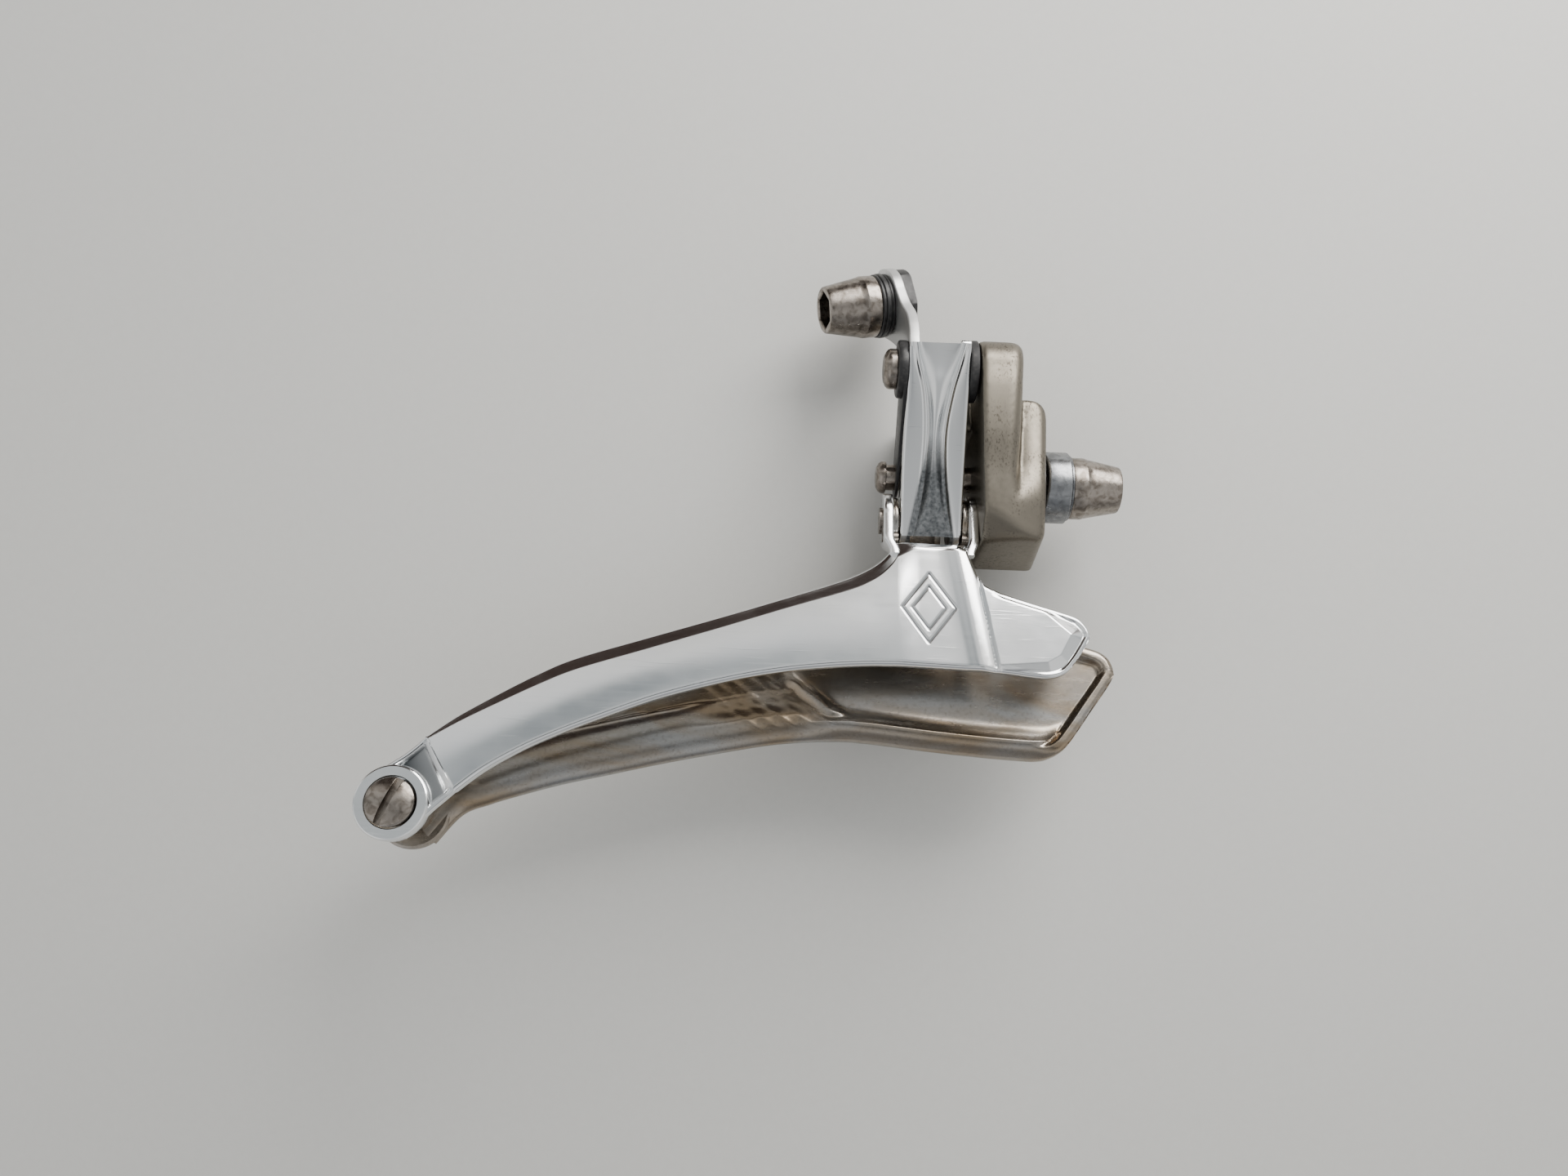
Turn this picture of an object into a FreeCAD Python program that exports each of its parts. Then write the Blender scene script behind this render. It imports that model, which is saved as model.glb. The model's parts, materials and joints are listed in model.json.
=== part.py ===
import FreeCAD, Part
import math
import os
from FreeCAD import Placement, Rotation, Vector

# Front derailleur for a frame with a hanger, millimetres.
# +X points to the front of the bicycle, +Y inboard to the frame, +Z up.
# The origin is on the axis of the mounting bolt, in the plane of the rim of the curved seat.
# The linkage stands where the return spring holds it, with the cage fully inboard.

doc = FreeCAD.newDocument("front_derailleur")
sheet = doc.addObject("Spreadsheet::Sheet", "dims")

DIMENSIONS = {
    # fixed pivots, and the moving pivots of the outer link, as Y and Z
    "outer_pivot_y": -9.3, "outer_pivot_z": 14.3,
    "inner_pivot_y": 2.2, "inner_pivot_z": 1.6,
    "outer_cage_pivot_y": 0.4, "outer_cage_pivot_z": -6.3,
    # places along X, from the rear to the front
    "pin_head_rear": -25.9, "outer_head_front": -23.81, "inner_head_front": -24.3,
    "boss_rear": -23.8, "strap_rear": -22.9, "cheek_front": -22.4,
    "link_rear": -22.3, "link_front": -13.3, "flange": 1.6,
    "inner_link_rear": -20.4, "inner_link_front": -15.4, "inner_cheek": 0.9,
    "block_rear": -12.0, "block_lower_rear": -10.2, "block_front": -4.5,
    "rear_ear_rear": -24.9, "front_ear_rear": -12.3, "ear": 1.5, "inner_ear": 0.8,
    # pins and bushes
    "pin_radius": 2.0, "bush_radius": 2.6, "running_fit": 0.04, "press_fit": 0.01,
    "pin_head_radius": 3.0, "inner_pin_head_radius": 2.5,
    # links, seen along X
    "outer_hub_radius": 4.2, "outer_foot_radius": 3.9, "inner_hub_radius": 3.4,
    "inner_foot_radius": 3.2, "web": 1.4, "lug_radius": 1.3, "lug_reach": 4.2,
    # cable arm and its clamp
    "clamp_x": -24.6, "clamp_y": -5.0, "clamp_z": 27.6, "clamp_turn": 12.0, "clamp_tilt": 14.0,
    "arm": 1.6, "arm_eye_radius": 5.6, "clamp_bolt_radius": 2.5, "cable_groove_radius": 0.65,
    "cable_slant": 20.0, "cable_offset": 3.5, "clamp_washer": 2.0, "clamp_washer_radius": 4.9,
    "clamp_nut": 1.8, "clamp_nut_radius": 5.3, "clamp_nut_flat": 4.6,
    # bolts with conical heads
    "head_radius": 4.7, "head_tip_radius": 3.6, "head_length": 7.6, "head_barrel": 2.2,
    "hexagon_across_flats": 5.0, "hexagon_depth": 4.0,
    # mounting seat
    "seat_radius": 25.0, "seat_depth": 1.0, "mounting_bolt_radius": 2.5,
    "washer_radius": 5.45, "washer_front": 3.5, "insert_radius": 3.5,
    # limit screws
    "screw_radius": 1.25, "dog_radius": 0.6, "screw_top": 13.0, "dog_top": 8.0,
    "low_screw_x": -15.9, "high_screw_x": -20.0, "high_screw_y": -1.6,
    "stop_gap": 0.15, "travel": 35.0, "high_lug_rest": 10.0,
    # return spring
    "wire": 1.0, "coil_radius": 3.4, "coil_pitch": 1.03,
    # cage plates, outboard face and thickness in Y, and the tail joint
    "outer_plate_y": -4.6, "outer_plate": 1.4, "inner_plate_y": 6.3, "inner_plate": 1.2,
    "tail_x": -92.0, "tail_z": -51.9, "tail_boss_radius": 5.4, "tail_screw_radius": 1.9,
    "tail_head_radius": 3.4, "tail_spacer_radius": 3.2, "tail_ring": 0.4,
    "rivet_radius": 0.8, "rivet_stand": 0.1,
}

for row, (alias, number) in enumerate(DIMENSIONS.items(), start=1):
    sheet.set("A%d" % row, alias)
    sheet.set("B%d" % row, repr(number))
    sheet.setAlias("B%d" % row, alias)
doc.recompute()

ALONG_X = Rotation(Vector(0, 1, 0), 90)
ALONG_Y = Rotation(Vector(1, 0, 0), -90)
CYCLE = Rotation(Vector(1, 1, 1), 120)   # X to Y, Y to Z, Z to X
OUTER_PIVOT = ("dims.outer_pivot_y", "dims.outer_pivot_z")
INNER_PIVOT = ("dims.inner_pivot_y", "dims.inner_pivot_z")
OUTER_CAGE_PIVOT = ("dims.outer_cage_pivot_y", "dims.outer_cage_pivot_z")
INNER_CAGE_PIVOT = (
    "dims.outer_cage_pivot_y + dims.inner_pivot_y - dims.outer_pivot_y",
    "dims.outer_cage_pivot_z + dims.inner_pivot_z - dims.outer_pivot_z",
)
MOUNT_AXIS = ("0", "0")
RIVET_AXIS = ("-1.6", "-9.6")
LOW_LUG_AXIS = ("dims.inner_pivot_y + dims.lug_reach", "dims.inner_pivot_z")
HIGH_LUG_AXIS = ("dims.inner_pivot_y - dims.lug_reach * cos(dims.high_lug_rest)",
                 "dims.inner_pivot_z - dims.lug_reach * sin(dims.high_lug_rest)")


def size(expression):
    """The value of an expression over the sheet."""
    return float(sheet.evalExpression(str(expression)))


LINK_Y = size("dims.outer_cage_pivot_y - dims.outer_pivot_y")
LINK_Z = size("dims.outer_cage_pivot_z - dims.outer_pivot_z")
LINK_LENGTH = math.hypot(LINK_Y, LINK_Z)
LINK_ANGLE = math.degrees(math.atan2(LINK_Y, -LINK_Z))
SPRING_LEG = 7.5
SPRING_TURNS = 2 - LINK_ANGLE / 360
SPRING_START = "dims.inner_link_rear + dims.inner_cheek + dims.wire / 2 + 0.08"
SPRING_HOOK_X = "%s + dims.coil_pitch * %f" % (SPRING_START, SPRING_TURNS)


# ---- building blocks ----

def place(item, x, y, z):
    """Bind an item's position to three expressions."""
    item.setExpression(".Placement.Base.x", str(x))
    item.setExpression(".Placement.Base.y", str(y))
    item.setExpression(".Placement.Base.z", str(z))
    return item


def rod(name, start, end, radius, axis):
    """A cylinder along X between two places, on an axis given as Y and Z."""
    item = doc.addObject("Part::Cylinder", name)
    item.Placement = Placement(Vector(), ALONG_X)
    item.setExpression("Radius", radius)
    item.setExpression("Height", "(%s) - (%s)" % (end, start))
    return place(item, start, *axis)


def cross_rod(name, start, end, radius, x, z):
    """A cylinder along Y between two places."""
    item = doc.addObject("Part::Cylinder", name)
    item.Placement = Placement(Vector(), ALONG_Y)
    item.setExpression("Radius", radius)
    item.setExpression("Height", "(%s) - (%s)" % (end, start))
    return place(item, x, start, z)


def post(name, bottom, top, radius, x, y):
    """A cylinder along Z between two heights."""
    item = doc.addObject("Part::Cylinder", name)
    item.setExpression("Radius", radius)
    item.setExpression("Height", "(%s) - (%s)" % (top, bottom))
    return place(item, x, y, bottom)


def block(name, x_range, y_range, z_range):
    """A box between three pairs of places."""
    item = doc.addObject("Part::Box", name)
    item.setExpression("Length", "(%s) - (%s)" % (x_range[1], x_range[0]))
    item.setExpression("Width", "(%s) - (%s)" % (y_range[1], y_range[0]))
    item.setExpression("Height", "(%s) - (%s)" % (z_range[1], z_range[0]))
    return place(item, x_range[0], y_range[0], z_range[0])


def join(name, *items):
    """One solid from several."""
    fused = doc.addObject("Part::MultiFuse", name)
    fused.Shapes = list(items)
    fused.Refine = True
    return fused


def cut(name, base, *tools):
    """The base with every tool taken away."""
    result = doc.addObject("Part::Cut", name)
    result.Base = base
    result.Tool = tools[0] if len(tools) == 1 else join(name + "_tools", *tools)
    result.Refine = True
    return result


def group(name, *items):
    """Several solids that share one node."""
    compound = doc.addObject("Part::Compound", name)
    compound.Links = list(items)
    return compound


def tube(name, start, end, radius, bore, axis):
    """A sleeve along X."""
    outside = rod(name + "_outside", start, end, radius, axis)
    inside = rod(name + "_bore", "(%s) - 1" % start, "(%s) + 1" % end, bore, axis)
    return cut(name, outside, inside)


def design(name):
    """An empty PartDesign body."""
    return doc.addObject("PartDesign::Body", name)


def sketch_on(body, role, name, offset):
    """A sketch on one of a body's origin planes, moved along the plane's normal."""
    sketch = body.newObject("Sketcher::SketchObject", name)
    plane = next(item for item in body.Origin.OriginFeatures if item.Role == role)
    sketch.AttachmentSupport = [(plane, "")]
    sketch.MapMode = "FlatFace"
    sketch.setExpression(".AttachmentOffset.Base.z", str(offset))
    return sketch


def trace(sketch, path):
    """Draw a closed outline. A point marked via lies on the arc between its neighbours."""
    points = [(Vector(size(p[0]), size(p[1]), 0), len(p) > 2) for p in path]
    edges = []
    corner = points[0][0]
    via = None
    for point, is_via in points[1:] + points[:1]:
        if is_via:
            via = point
            continue
        if via is None:
            edges.append(Part.LineSegment(corner, point))
        else:
            edges.append(Part.Arc(corner, via, point))
        corner = point
        via = None
    sketch.addGeometry(edges, False)
    return sketch


def pad(body, sketch, length):
    """Raise a sketch along its normal."""
    feature = body.newObject("PartDesign::Pad", sketch.Name + "_pad")
    feature.Profile = sketch
    feature.setExpression("Length", str(length))
    sketch.Visibility = False
    return feature


def slab_x(body, name, start, end, path):
    """Pad an outline of (Y, Z) points between two places along X."""
    sketch = trace(sketch_on(body, "YZ_Plane", name, start), path)
    return pad(body, sketch, "(%s) - (%s)" % (end, start))


def slab_y(body, name, start, end, path):
    """Pad an outline of (X, Z) points between two places along Y."""
    sketch = trace(sketch_on(body, "XZ_Plane", name, "-(%s)" % end), path)
    return pad(body, sketch, "(%s) - (%s)" % (end, start))


def turned(name, profile, axis=MOUNT_AXIS):
    """Turn an outline of (X, radius) points about an axis along X."""
    body = design(name)
    sketch = trace(sketch_on(body, "XY_Plane", name + "_profile", "0"), profile)
    feature = body.newObject("PartDesign::Revolution", name + "_turned")
    feature.Profile = sketch
    feature.ReferenceAxis = (sketch, ["H_Axis"])
    feature.Angle = 360
    return place(body, "0", *axis)


def hexagon(name, start, end, across_flats, axis):
    """A hexagonal prism along X."""
    item = doc.addObject("Part::Prism", name)
    item.Polygon = 6
    item.Placement = Placement(Vector(), ALONG_X)
    item.setExpression("Circumradius", "(%s) / sqrt(3)" % across_flats)
    item.setExpression("Height", "(%s) - (%s)" % (end, start))
    return place(item, start, *axis)


def stadium(upper, upper_radius, lower, lower_radius):
    """Outline round two circles, as (Y, Z) points, with the belt's straight sides."""
    gap_y = lower[0] - upper[0]
    gap_z = lower[1] - upper[1]
    gap = math.hypot(gap_y, gap_z)
    along = (gap_y / gap, gap_z / gap)
    across = (-along[1], along[0])
    lean = math.asin((upper_radius - lower_radius) / gap)

    def rim(centre, radius, side):
        forward = math.sin(lean)
        outward = side * math.cos(lean)
        return (centre[0] + radius * (along[0] * forward + across[0] * outward),
                centre[1] + radius * (along[1] * forward + across[1] * outward))

    top = (upper[0] - upper_radius * along[0], upper[1] - upper_radius * along[1], "via")
    bottom = (lower[0] + lower_radius * along[0], lower[1] + lower_radius * along[1], "via")
    return [rim(upper, upper_radius, 1), top, rim(upper, upper_radius, -1),
            rim(lower, lower_radius, -1), bottom, rim(lower, lower_radius, 1)]


def point(axis):
    """A pivot's Y and Z as numbers."""
    return (size(axis[0]), size(axis[1]))


# ---- what is fixed to the bicycle ----

def make_body():
    """Block with the two fixed pivots, the web for the limit screws and the curved seat."""
    body = design("body_blank")
    pivot_y, pivot_z = point(OUTER_PIVOT)
    lobe = 5.3
    slab_x(body, "block_upper", "dims.block_rear", "dims.block_front", [
        (pivot_y - lobe, pivot_z), (pivot_y, pivot_z + lobe, "via"), (pivot_y + lobe, pivot_z),
        (8.4, 10.0), (8.4, -1.2), (-11.0, -1.2), (-12.6, 4.0), (-13.4, 8.0), (-13.9, 10.0)])
    slab_x(body, "block_lower", "dims.block_lower_rear", "dims.block_front", [
        (-11.6, 0.8), (-9.6, -6.0), (-8.5, -11.0), (7.0, -11.0), (8.4, -6.0), (8.4, 0.8)])
    slab_x(body, "screw_web", "-22", "dims.block_rear + 1", [
        (-3.4, 8.0), (-3.4, 12.8), (8.4, 12.8), (8.4, 8.0)])
    slab_y(body, "seat_block", "-7.5", "7.5", [
        ("dims.block_front", 12.6), ("dims.block_front", -11.0), (-0.6, -11.0), (0.0, 9.1),
        (-0.5, 11.4, "via"), (-2.5, 12.6)])
    seat = doc.addObject("Part::Cylinder", "seat_cutter")
    seat.setExpression("Radius", "dims.seat_radius")
    seat.Height = 40
    place(seat, "dims.seat_radius - dims.seat_depth", "0", "-20")
    bore_outer = rod("body_bore_outer", "dims.block_rear - 1", "-5",
                     "dims.pin_radius + dims.press_fit", OUTER_PIVOT)
    bore_inner = rod("body_bore_inner", "dims.block_rear - 1", "-6.4",
                     "dims.pin_radius + dims.press_fit", INNER_PIVOT)
    bore_insert = rod("body_bore_insert", "-5.8", "1",
                      "dims.insert_radius + dims.press_fit", MOUNT_AXIS)
    threads = [
        post("low_screw_hole", "7", "14", "dims.screw_radius + dims.running_fit",
             "dims.low_screw_x", "dims.inner_pivot_y + dims.lug_reach"),
        post("high_screw_hole", "7", "14", "dims.screw_radius + dims.running_fit",
             "dims.high_screw_x", "dims.high_screw_y"),
        post("spring_leg_hole", "7", "11", "dims.wire / 2 + 0.1",
             SPRING_START, "dims.inner_pivot_y + dims.coil_radius")]
    return cut("body", body, seat, bore_outer, bore_inner, bore_insert, *threads)


def make_rear_cheek():
    """Thin strap between the rear ends of the two fixed pins, with a thick boss at the upper one."""
    body = design("rear_cheek_blank")
    slab_x(body, "cheek_outline", "dims.strap_rear", "dims.cheek_front",
           stadium(point(OUTER_PIVOT), 4.3, point(INNER_PIVOT), 3.2))
    boss = rod("cheek_boss", "dims.boss_rear", "dims.cheek_front", "4.3", OUTER_PIVOT)
    bores = [rod("cheek_bore_%d" % number, "dims.boss_rear - 1", "dims.cheek_front + 1",
                 "dims.pin_radius + dims.press_fit", axis)
             for number, axis in enumerate((OUTER_PIVOT, INNER_PIVOT))]
    return cut("rear_cheek", join("rear_cheek_solid", body, boss), *bores)


def make_headed_pin(name, head_front, end, head_radius, axis):
    """Fixed pivot pin with a domed head at its rear end."""
    shank = "dims.pin_radius"
    rear = "dims.pin_head_rear"
    return turned(name, [
        (rear, "0"), (rear, "%s * 0.55" % head_radius),
        ("%s + 0.35" % rear, "%s * 0.87" % head_radius, "via"),
        ("%s + 0.9" % rear, head_radius), (head_front, head_radius), (head_front, shank),
        (end, shank), (end, "0")], axis)


def make_limit_screw(name, tip, x, y):
    """Slotted grub screw with a slim point that stops the inner link."""
    shank = post(name + "_shank", "dims.dog_top", "dims.screw_top", "dims.screw_radius", x, y)
    dog = post(name + "_dog", tip, "dims.dog_top", "dims.dog_radius", x, y)
    slot = block(name + "_slot", ("%s - 2" % x, "%s + 2" % x), ("%s - 0.25" % y, "%s + 0.25" % y),
                 ("dims.screw_top - 0.8", "dims.screw_top + 1"))
    return cut(name, join(name + "_blank", shank, dog), slot)


def make_return_spring():
    """Torsion spring: coil round the inner pin, a leg up into the web, a hooked leg on the link."""
    wire = size("dims.wire") / 2
    radius = size("dims.coil_radius")
    pitch = size("dims.coil_pitch")
    start = size(SPRING_START)
    pivot_y, pivot_z = point(INNER_PIVOT)
    coil = Part.makeHelix(pitch, pitch * SPRING_TURNS, radius, 0, True)
    coil.Placement = Placement(Vector(start, pivot_y, pivot_z), CYCLE)
    first = Vector(start, pivot_y + radius, pivot_z)
    section = Part.Wire(Part.makeCircle(wire, first, Vector(0, 0, 1)))
    sweep = Part.Wire(coil.Edges).makePipeShell([section], True, True)
    tilt = math.radians(LINK_ANGLE)
    down = Vector(0, math.sin(tilt), -math.cos(tilt))
    outboard = Vector(0, -math.cos(tilt), -math.sin(tilt))
    last = Vector(start + pitch * SPRING_TURNS, pivot_y, pivot_z) - outboard * radius
    leg_up = Part.makeCylinder(wire, 10.4 - first.z, first, Vector(0, 0, 1))
    leg_down = Part.makeCylinder(wire, SPRING_LEG + wire, last, down)
    hook = Part.makeCylinder(wire * 0.98, 3.4, last + down * SPRING_LEG, outboard)
    spring = doc.addObject("Part::Feature", "return_spring")
    spring.Shape = sweep.fuse([leg_up, leg_down, hook])
    return spring


def make_mounting_bolt():
    """M5 bolt with a long conical head and a hexagon socket."""
    front = "dims.washer_front"
    blank = turned("mounting_bolt_blank", [
        ("-5.6", "0"), ("-5.6", "dims.mounting_bolt_radius"),
        (front, "dims.mounting_bolt_radius"), (front, "dims.head_radius"),
        ("%s + dims.head_barrel" % front, "dims.head_radius"),
        ("%s + dims.head_length - 0.7" % front, "dims.head_tip_radius"),
        ("%s + dims.head_length - 0.2" % front, "dims.head_tip_radius - 0.2", "via"),
        ("%s + dims.head_length" % front, "dims.head_tip_radius - 0.7"),
        ("%s + dims.head_length" % front, "0")])
    socket = hexagon("mounting_bolt_socket", "%s + dims.head_length - dims.hexagon_depth" % front,
                     "%s + dims.head_length + 1" % front, "dims.hexagon_across_flats", MOUNT_AXIS)
    return cut("mounting_bolt", blank, socket)


def make_mounting_washer():
    """Washer whose rear face is curved to sit on the hanger, or here on the seat."""
    disc = rod("washer_disc", "-1.5", "dims.washer_front - dims.press_fit", "dims.washer_radius",
               MOUNT_AXIS)
    bore = rod("washer_bore", "-3", "5", "dims.mounting_bolt_radius + 0.1", MOUNT_AXIS)
    face = doc.addObject("Part::Cylinder", "washer_face")
    face.setExpression("Radius", "dims.seat_radius - 0.02")
    face.Height = 40
    place(face, "dims.seat_radius - dims.seat_depth", "0", "-20")
    curved = doc.addObject("Part::Common", "washer_curved")
    curved.Base = disc
    curved.Tool = face
    return cut("mounting_washer", curved, bore)


# ---- links ----

def pose_link(item, axis):
    """Turn a link from upright to the rest angle, about its fixed pivot."""
    item.Placement = Placement(Vector(0, *point(axis)), Rotation(Vector(1, 0, 0), LINK_ANGLE))
    return item


def foot(radius_share=0.0):
    """Height of the moving pivot in an upright link, plus a share of a radius."""
    return -LINK_LENGTH + radius_share


def clamp_frame():
    """Centre of the arm's eye, and the turn that brings +X onto the axis of the clamp bolt."""
    eye = Vector(size("dims.clamp_x"), size("dims.clamp_y"), size("dims.clamp_z"))
    turn = Rotation(Vector(0, 0, 1), size("dims.clamp_turn"))
    return eye, turn * Rotation(Vector(0, 1, 0), -size("dims.clamp_tilt"))


def make_cable_arm():
    """Arm from the rear flange up to the eye of the cable clamp, leaning back as it rises."""
    arm = size("dims.arm")
    rear = size("dims.link_rear")
    pivot_y, pivot_z = point(OUTER_PIVOT)
    eye, turn = clamp_frame()
    straight = Rotation(Vector(0, 0, 1), 0)
    half_eye = size("dims.arm_eye_radius")

    def section(centre, half_width, rotation):
        corners = [Vector(-arm / 2, -half_width, 0), Vector(arm / 2, -half_width, 0),
                   Vector(arm / 2, half_width, 0), Vector(-arm / 2, half_width, 0)]
        points = [centre + rotation.multVec(corner) for corner in corners]
        return Part.makePolygon(points + points[:1])

    middle = rear + arm / 2
    sections = [
        section(Vector(middle, pivot_y, pivot_z), 3.9, straight),
        section(Vector(middle, pivot_y + 0.3, pivot_z + 4.6), 3.9, straight),
        section(eye + turn.multVec(Vector(0, -2.2, -5.6)), 4.3, turn),
        section(eye, half_eye, turn)]
    strap = Part.makeLoft(sections, True, True)
    axis = turn.multVec(Vector(1, 0, 0))
    disc = Part.makeCylinder(half_eye, arm, eye - axis * (arm / 2), axis)
    hole = Part.makeCylinder(size("dims.clamp_bolt_radius") + 0.05, 10, eye - axis * 5, axis)
    blank = doc.addObject("Part::Feature", "cable_arm")
    blank.Shape = strap.fuse(disc).cut(hole)
    return blank


def make_outer_link():
    """Channel between the outer pivots, with the cable arm on its rear flange."""
    hub = size("dims.outer_hub_radius")
    toe = size("dims.outer_foot_radius")
    belly = 2.2
    hub_end = 3.2
    body = design("outer_link_blank")
    slab_x(body, "outer_link_outline", "dims.link_rear", "dims.link_front", [
        (-hub, 0.0), (0.0, hub, "via"), (hub_end, -math.sqrt(hub ** 2 - hub_end ** 2)),
        (belly, -4.5), (belly, foot(math.sqrt(toe ** 2 - belly ** 2))), (toe, foot(), "via"),
        (0.0, foot(-toe)), (-toe * math.sqrt(0.5), foot(-toe * math.sqrt(0.5)), "via"),
        (-toe, foot())])
    cavity = block("outer_link_cavity",
                   ("dims.link_rear + dims.flange", "dims.link_front - dims.flange"),
                   ("-dims.outer_hub_radius + dims.web", "10"), ("-40", "20"))
    channel = pose_link(cut("outer_link_channel", body, cavity), OUTER_PIVOT)
    bores = [rod("outer_link_bore_%d" % number, "dims.link_rear - 5", "dims.link_front + 1",
                 "dims.bush_radius + dims.press_fit", axis)
             for number, axis in enumerate((OUTER_PIVOT, OUTER_CAGE_PIVOT))]
    return cut("outer_link", join("outer_link_solid", channel, make_cable_arm()), *bores)


def make_inner_link():
    """Two cheeks joined by a web, with a stop lug on each cheek."""
    hub = size("dims.inner_hub_radius")
    toe = size("dims.inner_foot_radius")
    waist = 2.0
    body = design("inner_link_blank")
    slab_x(body, "inner_link_outline", "dims.inner_link_rear", "dims.inner_link_front", [
        (-waist, -math.sqrt(hub ** 2 - waist ** 2)), (0.0, hub, "via"),
        (waist, -math.sqrt(hub ** 2 - waist ** 2)),
        (waist, foot(math.sqrt(toe ** 2 - waist ** 2))), (0.0, foot(-toe), "via"),
        (-waist, foot(math.sqrt(toe ** 2 - waist ** 2)))])
    inside = ("dims.inner_link_rear + dims.inner_cheek", "dims.inner_link_front - dims.inner_cheek")
    cavity = block("inner_link_cavity", inside, ("-10", "0.8"), ("-40", "20"))
    hub_room = block("inner_link_hub_room", inside, ("-10", "10"), ("-4.8", "20"))
    foot_room = block("inner_link_foot_room", inside, ("-10", "10"), ("-40", str(foot(4.2))))
    hook_hole = doc.addObject("Part::Cylinder", "inner_link_hook_hole")
    hook_hole.Placement = Placement(Vector(), ALONG_Y)
    hook_hole.setExpression("Radius", "dims.wire / 2 + 0.25")
    hook_hole.Height = 10
    place(hook_hole, SPRING_HOOK_X, "-2", str(-SPRING_LEG))
    linked = pose_link(cut("inner_link_fork", body, cavity, hub_room, foot_room, hook_hole),
                       INNER_PIVOT)
    low_lug = rod("low_lug", "dims.inner_link_front - dims.inner_cheek", "dims.inner_link_front",
                  "dims.lug_radius", LOW_LUG_AXIS)
    high_lug = rod("high_lug", "dims.inner_link_rear", "dims.inner_link_rear + dims.inner_cheek",
                   "dims.lug_radius", HIGH_LUG_AXIS)
    bores = [rod("inner_link_bore_%d" % number, "dims.inner_link_rear - 1",
                 "dims.inner_link_front + 1", "dims.bush_radius + dims.press_fit", axis)
             for number, axis in enumerate((INNER_PIVOT, INNER_CAGE_PIVOT))]
    return cut("inner_link", join("inner_link_solid", linked, low_lug, high_lug), *bores)


def make_bushes(name, rear, front, wall, axes):
    """A bush in each flange, at the upper and the lower pivot."""
    bushes = []
    for number, axis in enumerate(axes):
        rear_end = "(%s) + %s" % (rear, wall)
        front_start = "(%s) - %s" % (front, wall)
        for side, (start, end) in enumerate(((rear, rear_end), (front_start, front))):
            bushes.append(tube("%s_%d_%d" % (name, number, side), start, end, "dims.bush_radius",
                               "dims.pin_radius + dims.running_fit", axis))
    return group(name, *bushes)


def turn_clamp(item):
    """Bring a clamp piece, built about the mount axis, onto the eye of the arm."""
    item.Placement = Placement(*clamp_frame())
    return item


def make_clamp_bolt():
    """Bolt whose conical head presses the cable under the clamp washer."""
    seat = "-dims.arm / 2 - dims.clamp_washer"
    blank = turned("clamp_bolt_blank", [
        ("3.2", "0"), ("3.2", "dims.clamp_bolt_radius"), (seat, "dims.clamp_bolt_radius"),
        (seat, "dims.head_radius"), ("%s - dims.head_barrel" % seat, "dims.head_radius"),
        ("%s - dims.head_length + 0.3" % seat, "dims.head_tip_radius"),
        ("%s - dims.head_length - 0.2" % seat, "dims.head_tip_radius - 0.2", "via"),
        ("%s - dims.head_length - 0.4" % seat, "dims.head_tip_radius - 0.7"),
        ("%s - dims.head_length - 0.4" % seat, "0")])
    socket = hexagon("clamp_bolt_socket", "%s - dims.head_length - 2" % seat,
                     "%s - dims.head_length - 0.4 + dims.hexagon_depth" % seat,
                     "dims.hexagon_across_flats", MOUNT_AXIS)
    return turn_clamp(cut("cable_clamp_bolt", blank, socket))


def make_clamp_washer():
    """Thick washer with a half-round groove for the cable."""
    disc = tube("clamp_washer_disc", "-dims.arm / 2 - dims.clamp_washer + 0.02",
                "-dims.arm / 2 - dims.press_fit", "dims.clamp_washer_radius",
                "dims.clamp_bolt_radius + 0.05", MOUNT_AXIS)
    slant = Rotation(Vector(1, 0, 0), size("dims.cable_slant"))
    radius = size("dims.cable_groove_radius")
    offset = size("dims.cable_offset")
    face = -size("dims.arm") / 2
    groove = doc.addObject("Part::Cylinder", "cable_groove")
    groove.setExpression("Radius", "dims.cable_groove_radius")
    groove.Height = 20
    groove.Placement = Placement(
        Vector(face - radius, 0, 0) + slant.multVec(Vector(0, offset, -10)), slant)
    mouth = doc.addObject("Part::Box", "cable_groove_mouth")
    mouth.Length = 2 * radius
    mouth.setExpression("Width", "2 * dims.cable_groove_radius")
    mouth.Height = 20
    mouth.Placement = Placement(
        Vector(face - radius, 0, 0) + slant.multVec(Vector(0, offset - radius, -10)), slant)
    return turn_clamp(cut("cable_clamp_washer", disc, groove, mouth))


def make_clamp_nut():
    """Round nut behind the arm with two flats."""
    disc = tube("clamp_nut_disc", "dims.arm / 2 + dims.press_fit", "dims.arm / 2 + dims.clamp_nut",
                "dims.clamp_nut_radius", "dims.clamp_bolt_radius + dims.running_fit", MOUNT_AXIS)
    flats = [block("clamp_nut_flat_%d" % number, ("0", "5"), y_range, ("-8", "8"))
             for number, y_range in enumerate((("dims.clamp_nut_flat", "8"),
                                               ("-8", "-dims.clamp_nut_flat")))]
    return turn_clamp(cut("cable_clamp_nut", disc, *flats))


# ---- cage ----

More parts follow.
